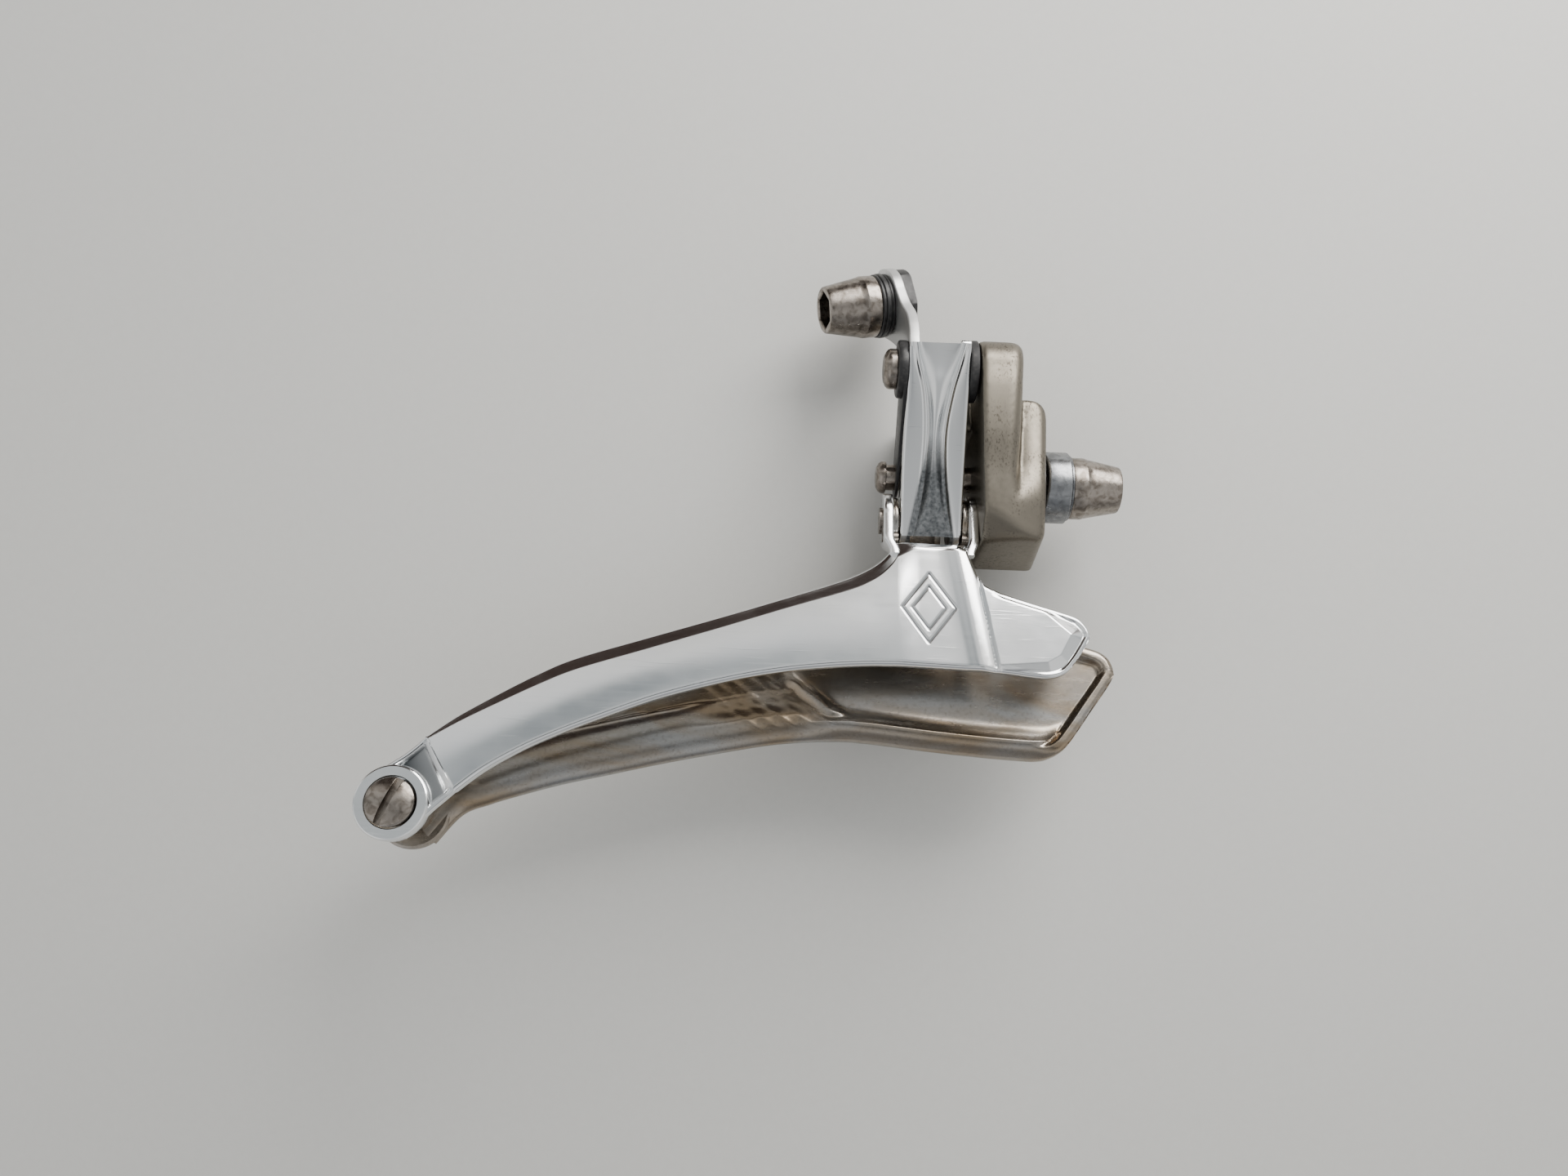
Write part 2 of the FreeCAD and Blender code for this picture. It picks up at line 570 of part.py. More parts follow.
def make_outer_cage_plate():
    """Outboard plate: long curved blade, nose, and two upright ears for the outer pivot."""
    body = design("outer_cage_blank")
    tail_x = size("dims.tail_x")
    tail_z = size("dims.tail_z")
    boss = size("dims.tail_boss_radius")
    slab_y(body, "outer_blade", "dims.outer_plate_y", "dims.outer_plate_y + dims.outer_plate", [
        (tail_x - boss * 0.6, tail_z + boss * 0.8), (-84.0, -39.1, "via"), (-68.7, -30.5),
        (-49.0, -23.5, "via"), (-30.0, -17.0), (-26.4, -15.0, "via"), (-24.9, -11.5),
        (-24.0, -10.6, "via"), (-23.0, -10.9), (-13.2, -11.3), (-12.6, -12.4), (-11.7, -14.6),
        (-10.6, -16.8, "via"), (-9.0, -17.9), (3.2, -21.7), (4.9, -24.0, "via"), (4.2, -26.5),
        (2.4, -29.3), (1.0, -30.6, "via"), (-1.1, -30.9), (-18.0, -29.8, "via"), (-34.5, -30.8),
        (-60.0, -37.3, "via"), (-83.8, -50.0), (-86.6, -52.0), (tail_x, tail_z - boss, "via")])
    ear_y = size("dims.outer_plate_y")
    ear_back = ear_y + size("dims.outer_plate")
    pivot_y, pivot_z = point(OUTER_CAGE_PIVOT)
    reach = 4.2
    start = math.radians(160)
    end = math.radians(-40)
    outline = [
        (ear_y, -17.0), (ear_y, -9.0),
        (pivot_y + reach * math.cos(start), pivot_z + reach * math.sin(start)),
        (pivot_y, pivot_z + reach, "via"),
        (pivot_y + reach * math.cos(end), pivot_z + reach * math.sin(end)),
        (ear_back, -15.4), (ear_back, -17.0)]
    for name in ("rear_ear", "front_ear"):
        slab_x(body, name, "dims.%s_rear" % name, "dims.%s_rear + dims.ear" % name, outline)
    ring = cross_rod("tail_ring", "dims.outer_plate_y - dims.tail_ring",
                     "dims.outer_plate_y + 0.5", "dims.tail_boss_radius - 0.2", "dims.tail_x",
                     "dims.tail_z")
    tail_bore = cross_rod("outer_tail_bore", "-8", "0", "dims.tail_screw_radius + dims.press_fit",
                          "dims.tail_x", "dims.tail_z")
    pivot_bore = rod("outer_ear_bore", "-26", "-10", "dims.pin_radius + dims.press_fit",
                     OUTER_CAGE_PIVOT)
    rivet_bore = rod("outer_rivet_bore", "-26", "-10", "dims.rivet_radius + dims.press_fit",
                     RIVET_AXIS)
    return cut("outer_cage_plate", join("outer_cage_solid", body, ring), tail_bore, pivot_bore,
               rivet_bore)


def make_inner_cage_plate():
    """Inboard plate, deeper at the nose, with ears that carry both moving pivots."""
    body = design("inner_cage_blank")
    tail_x = size("dims.tail_x")
    tail_z = size("dims.tail_z")
    boss = size("dims.tail_boss_radius")
    slab_y(body, "inner_blade", "dims.inner_plate_y", "dims.inner_plate_y + dims.inner_plate", [
        (tail_x - boss * 0.6, tail_z + boss * 0.8), (-83.0, -41.2, "via"), (-68.7, -33.2),
        (-50.0, -26.6, "via"), (-31.0, -20.5), (-26.0, -17.6, "via"), (-23.4, -14.0),
        (-22.6, -14.0), (-22.6, -17.0), (-13.1, -17.0), (-13.1, -14.0), (-12.3, -14.0),
        (-10.8, -17.0, "via"), (-7.0, -19.4), (7.8, -23.9), (10.6, -25.4, "via"), (10.7, -28.4),
        (4.2, -38.2), (2.0, -40.2, "via"), (-1.5, -41.0), (-20.0, -39.9, "via"), (-38.0, -39.6),
        (-60.0, -44.5, "via"), (-84.0, -51.8), (-86.9, -53.6), (tail_x, tail_z - boss, "via")])
    plate_y = size("dims.inner_plate_y")
    plate_back = plate_y + size("dims.inner_plate")
    upper_y, upper_z = point(OUTER_CAGE_PIVOT)
    lower_y, lower_z = point(INNER_CAGE_PIVOT)
    upper_reach = 3.6
    lower_reach = 3.3
    outline = [
        (upper_y - upper_reach * 0.707, upper_z - upper_reach * 0.707),
        (upper_y - upper_reach * 0.383, upper_z + upper_reach * 0.924, "via"),
        (upper_y + upper_reach * 0.924, upper_z + upper_reach * 0.383),
        (upper_y + 4.6, upper_z - 1.2), (lower_y - 0.9, lower_z + 5.2),
        (lower_y + lower_reach * 0.924, lower_z + lower_reach * 0.383),
        (lower_y + lower_reach * 0.383, lower_z - lower_reach * 0.924, "via"),
        (lower_y - lower_reach * 0.707, lower_z - lower_reach * 0.707),
        (plate_back, -20.0), (plate_y, -20.0), (plate_y, -16.4)]
    slab_x(body, "inner_rear_ear", "dims.rear_ear_rear + dims.ear",
           "dims.rear_ear_rear + dims.ear + dims.inner_ear", outline)
    slab_x(body, "inner_front_ear", "dims.front_ear_rear - dims.inner_ear",
           "dims.front_ear_rear", outline)
    tail_bore = cross_rod("inner_tail_bore", "5", "9", "dims.tail_screw_radius + dims.press_fit",
                          "dims.tail_x", "dims.tail_z")
    pivot_bores = [rod("inner_ear_bore_%d" % number, "-26", "-10",
                       "dims.pin_radius + dims.press_fit", axis)
                   for number, axis in enumerate((OUTER_CAGE_PIVOT, INNER_CAGE_PIVOT))]
    rivet_bore = rod("inner_rivet_bore", "-26", "-10", "dims.rivet_radius + dims.press_fit",
                     RIVET_AXIS)
    return cut("inner_cage_plate", body, tail_bore, rivet_bore, *pivot_bores)


def make_rivets():
    """Two short rivets through the overlapping ears."""
    rear = rod("rivet_rear", "dims.rear_ear_rear - dims.rivet_stand",
               "dims.rear_ear_rear + dims.ear + dims.inner_ear", "dims.rivet_radius", RIVET_AXIS)
    front = rod("rivet_front", "dims.front_ear_rear - dims.inner_ear",
                "dims.front_ear_rear + dims.ear + dims.rivet_stand", "dims.rivet_radius",
                RIVET_AXIS)
    return group("cage_rivets", rear, front)


def make_tail_screw():
    """Slotted screw with a domed head, through both plates at the tail."""
    face = "dims.outer_plate_y - dims.tail_ring"
    under = "%s - dims.press_fit" % face
    body = design("tail_screw_blank")
    radius = "dims.tail_head_radius"
    shank = "dims.tail_screw_radius"
    sketch = trace(sketch_on(body, "XY_Plane", "tail_screw_profile", "0"), [
        ("0", "9.4"), (shank, "9.4"), (shank, under), (radius, under),
        (radius, "%s - 0.6" % face), ("%s * 0.7" % radius, "%s - 1.25" % face, "via"),
        ("0", "%s - 1.5" % face)])
    feature = body.newObject("PartDesign::Revolution", "tail_screw_turned")
    feature.Profile = sketch
    feature.ReferenceAxis = (sketch, ["V_Axis"])
    feature.Angle = 360
    place(body, "dims.tail_x", "0", "dims.tail_z")
    slot = doc.addObject("Part::Box", "tail_screw_slot")
    slot.Length = 1.0
    slot.Width = 2.0
    slot.Height = 10.0
    tilt = Rotation(Vector(0, 1, 0), 20)
    corner = Vector(size("dims.tail_x"), size(face) - 2.6, size("dims.tail_z"))
    slot.Placement = Placement(corner + tilt.multVec(Vector(-0.5, 0, -5)), tilt)
    return cut("tail_screw", body, slot)


def make_tail_sleeve(name, start, end, radius, bore):
    """A ring on the tail screw."""
    outside = cross_rod(name + "_outside", start, end, radius, "dims.tail_x", "dims.tail_z")
    inside = cross_rod(name + "_inside", "(%s) - 1" % start, "(%s) + 1" % end, bore,
                       "dims.tail_x", "dims.tail_z")
    return cut(name, outside, inside)


def make_all():
    """Every piece, each with the name of its node."""
    lower_tip = "dims.inner_pivot_z + dims.lug_radius + dims.stop_gap"
    raised = "dims.inner_pivot_z + dims.lug_reach * sin(dims.travel - dims.high_lug_rest)"
    upper_tip = raised + " + dims.lug_radius + dims.stop_gap"
    plate_back = "dims.outer_plate_y + dims.outer_plate"
    pieces = {
        "body": make_body(),
        "rear_cheek": make_rear_cheek(),
        "outer_pivot_pin": make_headed_pin("outer_pin_blank", "dims.outer_head_front", "-5.2",
                                           "dims.pin_head_radius", OUTER_PIVOT),
        "inner_pivot_pin": make_headed_pin("inner_pin_blank", "dims.inner_head_front", "-6.5",
                                           "dims.inner_pin_head_radius", INNER_PIVOT),
        "link_thrust_washer": tube("thrust_washer", "dims.link_front + 0.05",
                                   "dims.block_rear - 0.01", "4.6", "dims.pin_radius + 0.05",
                                   OUTER_PIVOT),
        "return_spring": make_return_spring(),
        "low_limit_screw": make_limit_screw("low_screw", lower_tip, "dims.low_screw_x",
                                            LOW_LUG_AXIS[0]),
        "high_limit_screw": make_limit_screw("high_screw", upper_tip, "dims.high_screw_x",
                                             "dims.high_screw_y"),
        "thread_insert": tube("insert", "-5.7", "-1.3", "dims.insert_radius",
                              "dims.mounting_bolt_radius + dims.running_fit", MOUNT_AXIS),
        "mounting_bolt": make_mounting_bolt(),
        "mounting_washer": make_mounting_washer(),
        "outer_link": make_outer_link(),
        "outer_link_bushes": make_bushes("outer_bush", "dims.link_rear", "dims.link_front",
                                         "dims.flange", (OUTER_PIVOT, OUTER_CAGE_PIVOT)),
        "inner_link": make_inner_link(),
        "inner_link_bushes": make_bushes("inner_bush", "dims.inner_link_rear",
                                         "dims.inner_link_front", "dims.inner_cheek",
                                         (INNER_PIVOT, INNER_CAGE_PIVOT)),
        "spring_sleeve": tube("sleeve", "dims.inner_link_rear + dims.inner_cheek + 0.05",
                              "dims.inner_link_front - dims.inner_cheek - 0.05", "2.7",
                              "dims.pin_radius + dims.press_fit", INNER_PIVOT),
        "cable_clamp_bolt": make_clamp_bolt(),
        "cable_clamp_washer": make_clamp_washer(),
        "cable_clamp_nut": make_clamp_nut(),
        "outer_cage_plate": make_outer_cage_plate(),
        "inner_cage_plate": make_inner_cage_plate(),
        "outer_cage_pin": rod("outer_pin", "-25.3", "-10.6", "dims.pin_radius", OUTER_CAGE_PIVOT),
        "inner_cage_pin": rod("inner_pin", "-23.8", "-11.9", "dims.pin_radius", INNER_CAGE_PIVOT),
        "cage_rivets": make_rivets(),
        "tail_screw": make_tail_screw(),
        "tail_spacer": make_tail_sleeve("spacer", "%s + 0.01" % plate_back,
                                        "dims.inner_plate_y - 0.01", "dims.tail_spacer_radius",
                                        "dims.tail_screw_radius + 0.05"),
        "tail_nut": make_tail_sleeve("nut", "dims.inner_plate_y + dims.inner_plate + 0.01", "9.3",
                                     "3.6", "dims.tail_screw_radius + dims.running_fit"),
    }
    for name, item in pieces.items():
        item.Label = name
    return pieces


def check_and_write(pieces):
    """Stop if anything failed, then write one file for each piece."""
    failed = [item.Label for item in doc.Objects if {"Invalid", "Error"} & set(item.State)]
    if failed:
        raise RuntimeError("failed objects: %s" % ", ".join(failed))
    os.makedirs("parts", exist_ok=True)
    for name, item in pieces.items():
        shape = item.Shape
        if shape.isNull() or not shape.isValid():
            raise RuntimeError("bad shape: " + name)
        box = shape.BoundBox
        print("%-20s solids %d volume %8.2f  X %6.1f %6.1f  Y %6.1f %6.1f  Z %6.1f %6.1f" % (
            name, len(shape.Solids), shape.Volume, box.XMin, box.XMax, box.YMin, box.YMax,
            box.ZMin, box.ZMax))
        shape.exportStep("parts/%s.step" % name)


parts = make_all()
doc.recompute()
check_and_write(parts)
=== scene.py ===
import json
import math

import bmesh
import bpy
from mathutils import Matrix, Vector, kdtree


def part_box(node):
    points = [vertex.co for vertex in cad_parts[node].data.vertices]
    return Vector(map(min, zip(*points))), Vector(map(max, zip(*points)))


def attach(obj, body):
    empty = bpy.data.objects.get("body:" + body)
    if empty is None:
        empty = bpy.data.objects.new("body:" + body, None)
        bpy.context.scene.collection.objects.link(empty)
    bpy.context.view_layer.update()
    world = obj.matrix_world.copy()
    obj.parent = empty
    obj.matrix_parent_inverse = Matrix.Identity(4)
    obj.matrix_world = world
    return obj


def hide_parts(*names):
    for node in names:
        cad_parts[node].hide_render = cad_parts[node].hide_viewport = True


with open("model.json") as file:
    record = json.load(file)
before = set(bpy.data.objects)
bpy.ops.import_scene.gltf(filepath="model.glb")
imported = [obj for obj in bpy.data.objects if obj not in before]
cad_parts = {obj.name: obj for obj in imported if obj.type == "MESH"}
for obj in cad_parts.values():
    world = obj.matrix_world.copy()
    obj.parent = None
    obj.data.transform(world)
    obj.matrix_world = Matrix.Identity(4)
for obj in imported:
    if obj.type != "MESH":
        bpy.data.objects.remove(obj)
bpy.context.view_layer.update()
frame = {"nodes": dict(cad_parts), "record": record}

# Front derailleur, drawn in millimetres in the frame of the CAD model and scaled to metres
# when a mesh is made. +X points forward, +Y inboard and +Z up.

MM = 0.001


def cad(node):
    """A CAD node's box in millimetres, lowest and highest corner."""
    low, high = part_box(node)
    return Vector(low) / MM, Vector(high) / MM


def axis_of(node):
    """The middle of a node's box as Y and Z, which is the axis of a pin along X."""
    low, high = cad(node)
    return (low.y + high.y) / 2, (low.z + high.z) / 2


def joint(name):
    """Where a joint is, in millimetres."""
    return next(Vector(j["pos_m"]) / MM for j in frame["record"]["behaviour"]["joints"]
                if j["name"] == name)


OUTER_PIVOT = joint("outer_link_pivot")
INNER_PIVOT = joint("inner_link_pivot")
OUTER_CAGE_PIVOT = joint("cage_pivot")
OUTER_PIN = (OUTER_PIVOT.y, OUTER_PIVOT.z)
INNER_PIN = (INNER_PIVOT.y, INNER_PIVOT.z)
EYE = joint("clamp_bolt_turn")
LINK_ANGLE = math.atan2(OUTER_CAGE_PIVOT.y - OUTER_PIVOT.y, OUTER_PIVOT.z - OUTER_CAGE_PIVOT.z)
TAIL = sum(cad("tail_spacer"), Vector()) / 2
SEAT_RADIUS = 25.0
SEAT_DEPTH = 1.0


# ---- mesh helpers ----

def make(name, vertices, faces, smooth):
    """A mesh object from millimetres, smooth except at edges sharper than so many degrees."""
    mesh = bpy.data.meshes.new(name)
    mesh.from_pydata([Vector(v) * MM for v in vertices], [], faces)
    mesh.validate()
    obj = bpy.data.objects.new(name, mesh)
    bpy.context.collection.objects.link(obj)
    tidy(obj)
    shade(obj, smooth)
    return obj


def tidy(obj):
    """Merge doubles and turn every face outwards."""
    mesh = bmesh.new()
    mesh.from_mesh(obj.data)
    bmesh.ops.remove_doubles(mesh, verts=mesh.verts, dist=1e-6)
    bmesh.ops.recalc_face_normals(mesh, faces=mesh.faces)
    mesh.to_mesh(obj.data)
    mesh.free()


def shade(obj, angle):
    """Smooth shading with sharp edges past an angle in degrees."""
    obj.data.shade_smooth()
    obj.data.set_sharp_from_angle(angle=math.radians(angle))


def apply(obj, kind, **settings):
    """Add one modifier and apply it."""
    modifier = obj.modifiers.new(kind, kind)
    for key, setting in settings.items():
        setattr(modifier, key, setting)
    bpy.context.view_layer.update()
    graph = bpy.context.evaluated_depsgraph_get()
    mesh = bpy.data.meshes.new_from_object(obj.evaluated_get(graph))
    obj.modifiers.clear()
    obj.data = mesh


def boolean(obj, tool, operation):
    """Combine an object with a tool and delete the tool."""
    apply(obj, "BOOLEAN", object=tool, operation=operation, solver="EXACT")
    bpy.data.objects.remove(tool)
    return obj


def round_off(obj, voxel, passes):
    """Melt joined blocks into one rounded casting."""
    apply(obj, "REMESH", mode="VOXEL", voxel_size=voxel * MM)
    apply(obj, "SMOOTH", factor=0.5, iterations=passes)
    shade(obj, 180)


def join_meshes(name, objects):
    """Put several meshes into one object."""
    mesh = bmesh.new()
    for item in objects:
        mesh.from_mesh(item.data)
        bpy.data.objects.remove(item)
    data = bpy.data.meshes.new(name)
    mesh.to_mesh(data)
    mesh.free()
    obj = bpy.data.objects.new(name, data)
    bpy.context.collection.objects.link(obj)
    return obj


def tube_faces(rows, segments):
    """Quads over closed rows of vertices laid out one after the other."""
    faces = []
    for row in range(rows - 1):
        start = row * segments
        for step in range(segments):
            following = (step + 1) % segments
            faces.append((start + step, start + following, start + segments + following,
                          start + segments + step))
    return faces


def circle(x, radius, segments, axis=(0, 0)):
    """Points round an axis along X, given as Y and Z; the radius may depend on the angle."""
    points = []
    for step in range(segments):
        angle = 2 * math.pi * step / segments
        reach = radius(angle) if callable(radius) else radius
        points.append((x, axis[0] + reach * math.cos(angle), axis[1] + reach * math.sin(angle)))
    return points


def ring_faces(rows, segments):
    """Quads over closed rows, the last of which joins the first."""
    faces = tube_faces(rows, segments)
    last = (rows - 1) * segments
    for step in range(segments):
        following = (step + 1) % segments
        faces.append((last + step, last + following, following, step))
    return faces


def turned(name, profile, axis=(0, 0), segments=96, sharp=30):
    """Turn (x, radius) points about an axis along X into a solid with flat ends."""
    vertices = [point for x, radius in profile for point in circle(x, radius, segments, axis)]
    faces = tube_faces(len(profile), segments)
    faces.append(tuple(range(segments)))
    faces.append(tuple(range((len(profile) - 1) * segments, len(profile) * segments)))
    return make(name, vertices, faces, sharp)


def ring(name, line, axis=(0, 0), segments=120):
    """Turn a closed (x, radius) line about an axis along X."""
    vertices = [point for x, radius in line for point in circle(x, radius, segments, axis)]
    return make(name, vertices, ring_faces(len(line), segments), 28)


def ring_y(name, line, centre, segments=96):
    """Turn a closed (y, radius) line about an axis along Y at the given X and Z."""
    vertices = [(x, y, z) for depth, radius in line
                for y, x, z in circle(depth, radius, segments, centre)]
    return make(name, vertices, ring_faces(len(line), segments), 28)


def rounded(corners, radius, steps=5):
    """Replace each inner corner of an open (x, y) line by a small arc."""
    points = [corners[0]]
    for before, corner, after in zip(corners, corners[1:], corners[2:]):
        to_before = Vector(before) - Vector(corner)
        to_after = Vector(after) - Vector(corner)
        reach = min(radius, to_before.length * 0.45, to_after.length * 0.45)
        first = Vector(corner) + to_before.normalized() * reach
        last = Vector(corner) + to_after.normalized() * reach
        for step in range(steps + 1):
            share = step / steps
            a = first.lerp(Vector(corner), share)
            b = Vector(corner).lerp(last, share)
            points.append(tuple(a.lerp(b, share)))
    points.append(corners[-1])
    return points


def slab_x(name, outline, rear, front, bevel):
    """A plate along X from a closed outline of (y, z) points; its edges may be rounded."""
    count = len(outline)
    vertices = [(rear, y, z) for y, z in outline] + [(front, y, z) for y, z in outline]
    faces = [tuple(range(count)), tuple(range(2 * count - 1, count - 1, -1))]
    for index in range(count):
        following = (index + 1) % count
        faces.append((index, following, count + following, count + index))
    obj = make(name, vertices, faces, 30)
    if bevel:
        apply(obj, "BEVEL", width=bevel * MM, segments=3, limit_method="ANGLE",
              angle_limit=math.radians(40), use_clamp_overlap=True)
    shade(obj, 35)
    return obj


def block(name, low, high):
    """A plain box."""
    outline = [(low[1], low[2]), (high[1], low[2]), (high[1], high[2]), (low[1], high[2])]
    return slab_x(name, outline, low[0], high[0], 0.0)


def arc(centre, radius, start, end, steps=16):
    """Points on an arc, angles in degrees."""
    return [(centre[0] + radius * math.cos(math.radians(start + (end - start) * i / steps)),
             centre[1] + radius * math.sin(math.radians(start + (end - start) * i / steps)))
            for i in range(steps + 1)]


def ramp(low, high, place):
    """0 below low, 1 above high, straight between."""
    return min(max((place - low) / (high - low), 0.0), 1.0)


def smoothstep(low, high, place):
    """0 below low, 1 above high, eased between."""
    share = ramp(low, high, place)
    return share * share * (3 - 2 * share)


def roll(distance, radius):
    """How far a rounded edge falls back at a distance from it."""
    if distance >= radius:
        return 0.0
    return radius - math.sqrt(max(radius ** 2 - (radius - max(distance, 0.0)) ** 2, 0.0))


# ---- materials ----

# The rhombus on the outer plate: X and Z of its centre, half width, half height, and the share
# of them that the inner rhombus has.
MARK = (-18.3, -21.2, 3.9, 5.2)
MARK_INNER = 0.62
# The line, in X and Z, where the outer plate steps down towards its tail.
JOGGLE = ((-88.0, -42.3), (-83.2, -50.6))


def material(name, color, roughness, metallic=1.0):
    """A metal or plastic with its nodes, ready for more detail."""
    mat = bpy.data.materials.new(name)
    mat.use_nodes = True
    tree = mat.node_tree
    shader = tree.nodes["Principled BSDF"]
    shader.inputs["Base Color"].default_value = (*color, 1)
    shader.inputs["Roughness"].default_value = roughness
    shader.inputs["Metallic"].default_value = metallic
    return mat, tree, shader


def node(tree, kind, **settings):
    """Add a node and set its fields and inputs."""
    item = tree.nodes.new(kind)
    for key, setting in settings.items():
        if key in item.inputs:
            item.inputs[key].default_value = setting
        else:
            setattr(item, key, setting)
    return item


def noise_field(tree, scale_mm, detail=6.0, stretch=(1, 1, 1), distortion=0.0, offset=0.0):
    """Noise whose grain is about so many millimetres, stretched along the axes."""
    where = node(tree, "ShaderNodeTexCoord")
    mapping = node(tree, "ShaderNodeMapping")
    mapping.inputs["Location"].default_value = (offset, offset * 0.7, -offset)
    mapping.inputs["Scale"].default_value = tuple(1 / (scale_mm * MM * s) for s in stretch)
    tree.links.new(where.outputs["Object"], mapping.inputs["Vector"])
    field = node(tree, "ShaderNodeTexNoise", Scale=1.0, Detail=detail, Distortion=distortion)
    tree.links.new(mapping.outputs["Vector"], field.inputs["Vector"])
    return field.outputs["Fac"]


def levels(tree, source, low, high, low_color, high_color):
    """Map a value between two levels to two colours."""
    item = node(tree, "ShaderNodeValToRGB")
    item.color_ramp.elements[0].position = low
    item.color_ramp.elements[0].color = (*low_color, 1)
    item.color_ramp.elements[1].position = high
    item.color_ramp.elements[1].color = (*high_color, 1)
    tree.links.new(source, item.inputs["Fac"])
    return item.outputs["Color"]


def grey(level):
    """The same level in all three channels."""
    return (level, level, level)


def fade(tree, source, low, high, first=0.0, last=1.0):
    """Map a value between two levels to two greys."""
    return levels(tree, source, low, high, grey(first), grey(last))


def mix(tree, factor, a, b):
    """Blend two colours by a value."""
    item = node(tree, "ShaderNodeMix", data_type="RGBA")
    tree.links.new(factor, item.inputs["Factor"])
    for socket, source in ((item.inputs[6], a), (item.inputs[7], b)):
        if isinstance(source, tuple):
            socket.default_value = (*source, 1)
        else:
            tree.links.new(source, socket)
    return item.outputs[2]


def value(tree, operation, *terms):
    """One arithmetic step on sockets or numbers."""
    item = node(tree, "ShaderNodeMath", operation=operation)
    for socket, term in zip(item.inputs, terms):
        if isinstance(term, (int, float)):
            socket.default_value = term
        else:
            tree.links.new(term, socket)
    return item.outputs[0]


def bump(tree, shader, height, distance_mm, strength=1.0, after=None):
    """Small relief from a value."""
    item = node(tree, "ShaderNodeBump", Strength=strength, Distance=distance_mm * MM)
    tree.links.new(height, item.inputs["Height"])
    if after is not None:
        tree.links.new(after, item.inputs["Normal"])
    tree.links.new(item.outputs["Normal"], shader.inputs["Normal"])
    return item.outputs["Normal"]


def polished_alloy(name="polished_alloy", marks_and_painted_shade=None):
    """Hand-polished aluminium: bright, with cloudy patches, fine scratches and a few nicks."""
    mat, tree, shader = material(name, (0.86, 0.87, 0.88), 0.18)
    clouds = noise_field(tree, 9, 4)
    streaks = noise_field(tree, 0.5, 5, stretch=(14, 1, 1))
    color = mix(tree, clouds, (0.80, 0.82, 0.84), (0.92, 0.92, 0.91))
    worn = mix(tree, streaks, grey(0.10), grey(0.20))
    patches = fade(tree, noise_field(tree, 4, 6, offset=3.0), 0.42, 0.68)
    rough = mix(tree, patches, worn, grey(0.19))
    # Darkening passed in: engraved lines are real, while the dark hollow of the link is a painted reflection
    # and the dark tail recess a painted shade.
    if marks_and_painted_shade:
        dark = marks_and_painted_shade(tree)
        color = mix(tree, dark, color, (0.055, 0.065, 0.072))
        rough = mix(tree, dark, rough, grey(0.45))
    tree.links.new(color, shader.inputs["Base Color"])
    tree.links.new(rough, shader.inputs["Roughness"])
    scratches = fade(tree, noise_field(tree, 0.35, 2, stretch=(22, 1, 1), offset=1.3), 0.62, 0.72)
    soft = bump(tree, shader, noise_field(tree, 6, 2, offset=7.0), 0.05, 0.14)
    bump(tree, shader, scratches, 0.004, 0.6, soft)
    return mat


def place_mm(tree):
    """Where a point of the object is along X and along Z, in millimetres."""
    where = node(tree, "ShaderNodeTexCoord")
    split = node(tree, "ShaderNodeSeparateXYZ")
    tree.links.new(where.outputs["Object"], split.inputs["Vector"])
    return [value(tree, "DIVIDE", split.outputs[axis], MM) for axis in "XZ"]


def link_painted_reflection(tree):
    """Painted reflection: the hollow of the link is darkened towards its lower end, between the ridges."""
    top, middle, waist, spread = 4.5, -17.85, 1.05, 0.19
    x, z = place_mm(tree)
    below = value(tree, "SUBTRACT", top, z)
    depth = fade(tree, value(tree, "MULTIPLY", below, 0.1), 0.0, 0.55, 0.0, 0.95)
    half = value(tree, "ADD", value(tree, "MAXIMUM", value(tree, "MULTIPLY", below, spread), 0.0), waist)
    aside = value(tree, "ABSOLUTE", value(tree, "SUBTRACT", x, middle))
    hollow = fade(tree, value(tree, "SUBTRACT", half, aside), 0.0, 0.35)
    grain = fade(tree, noise_field(tree, 0.5, 6, offset=9.0), 0.30, 0.75, 1.0, 0.72)
    return value(tree, "MULTIPLY", value(tree, "MULTIPLY", depth, hollow), grain)


def satin_alloy():
    """Aluminium that was never polished: even, pale and soft."""
    mat, tree, shader = material("satin_alloy", (0.62, 0.62, 0.61), 0.42)
    grain = noise_field(tree, 1.4, 6, stretch=(1, 1, 3))
    tree.links.new(mix(tree, grain, (0.54, 0.545, 0.55), (0.68, 0.68, 0.67)), shader.inputs["Base Color"])
    bump(tree, shader, noise_field(tree, 0.25, 4, stretch=(1, 1, 5)), 0.006, 0.5)
    return mat


def rhombus_lines(tree, x, z):
    """The double rhombus on the outer plate."""
    u = value(tree, "DIVIDE", value(tree, "ABSOLUTE", value(tree, "SUBTRACT", x, MARK[0])), MARK[2])
    v = value(tree, "DIVIDE", value(tree, "ABSOLUTE", value(tree, "SUBTRACT", z, MARK[1])), MARK[3])
    reach = value(tree, "ADD", u, v)
    outer = value(tree, "ABSOLUTE", value(tree, "SUBTRACT", reach, 1.0))
    inner = value(tree, "ABSOLUTE", value(tree, "SUBTRACT", reach, MARK_INNER))
    return fade(tree, value(tree, "MINIMUM", outer, inner), 0.030, 0.052, 0.85, 0.0)


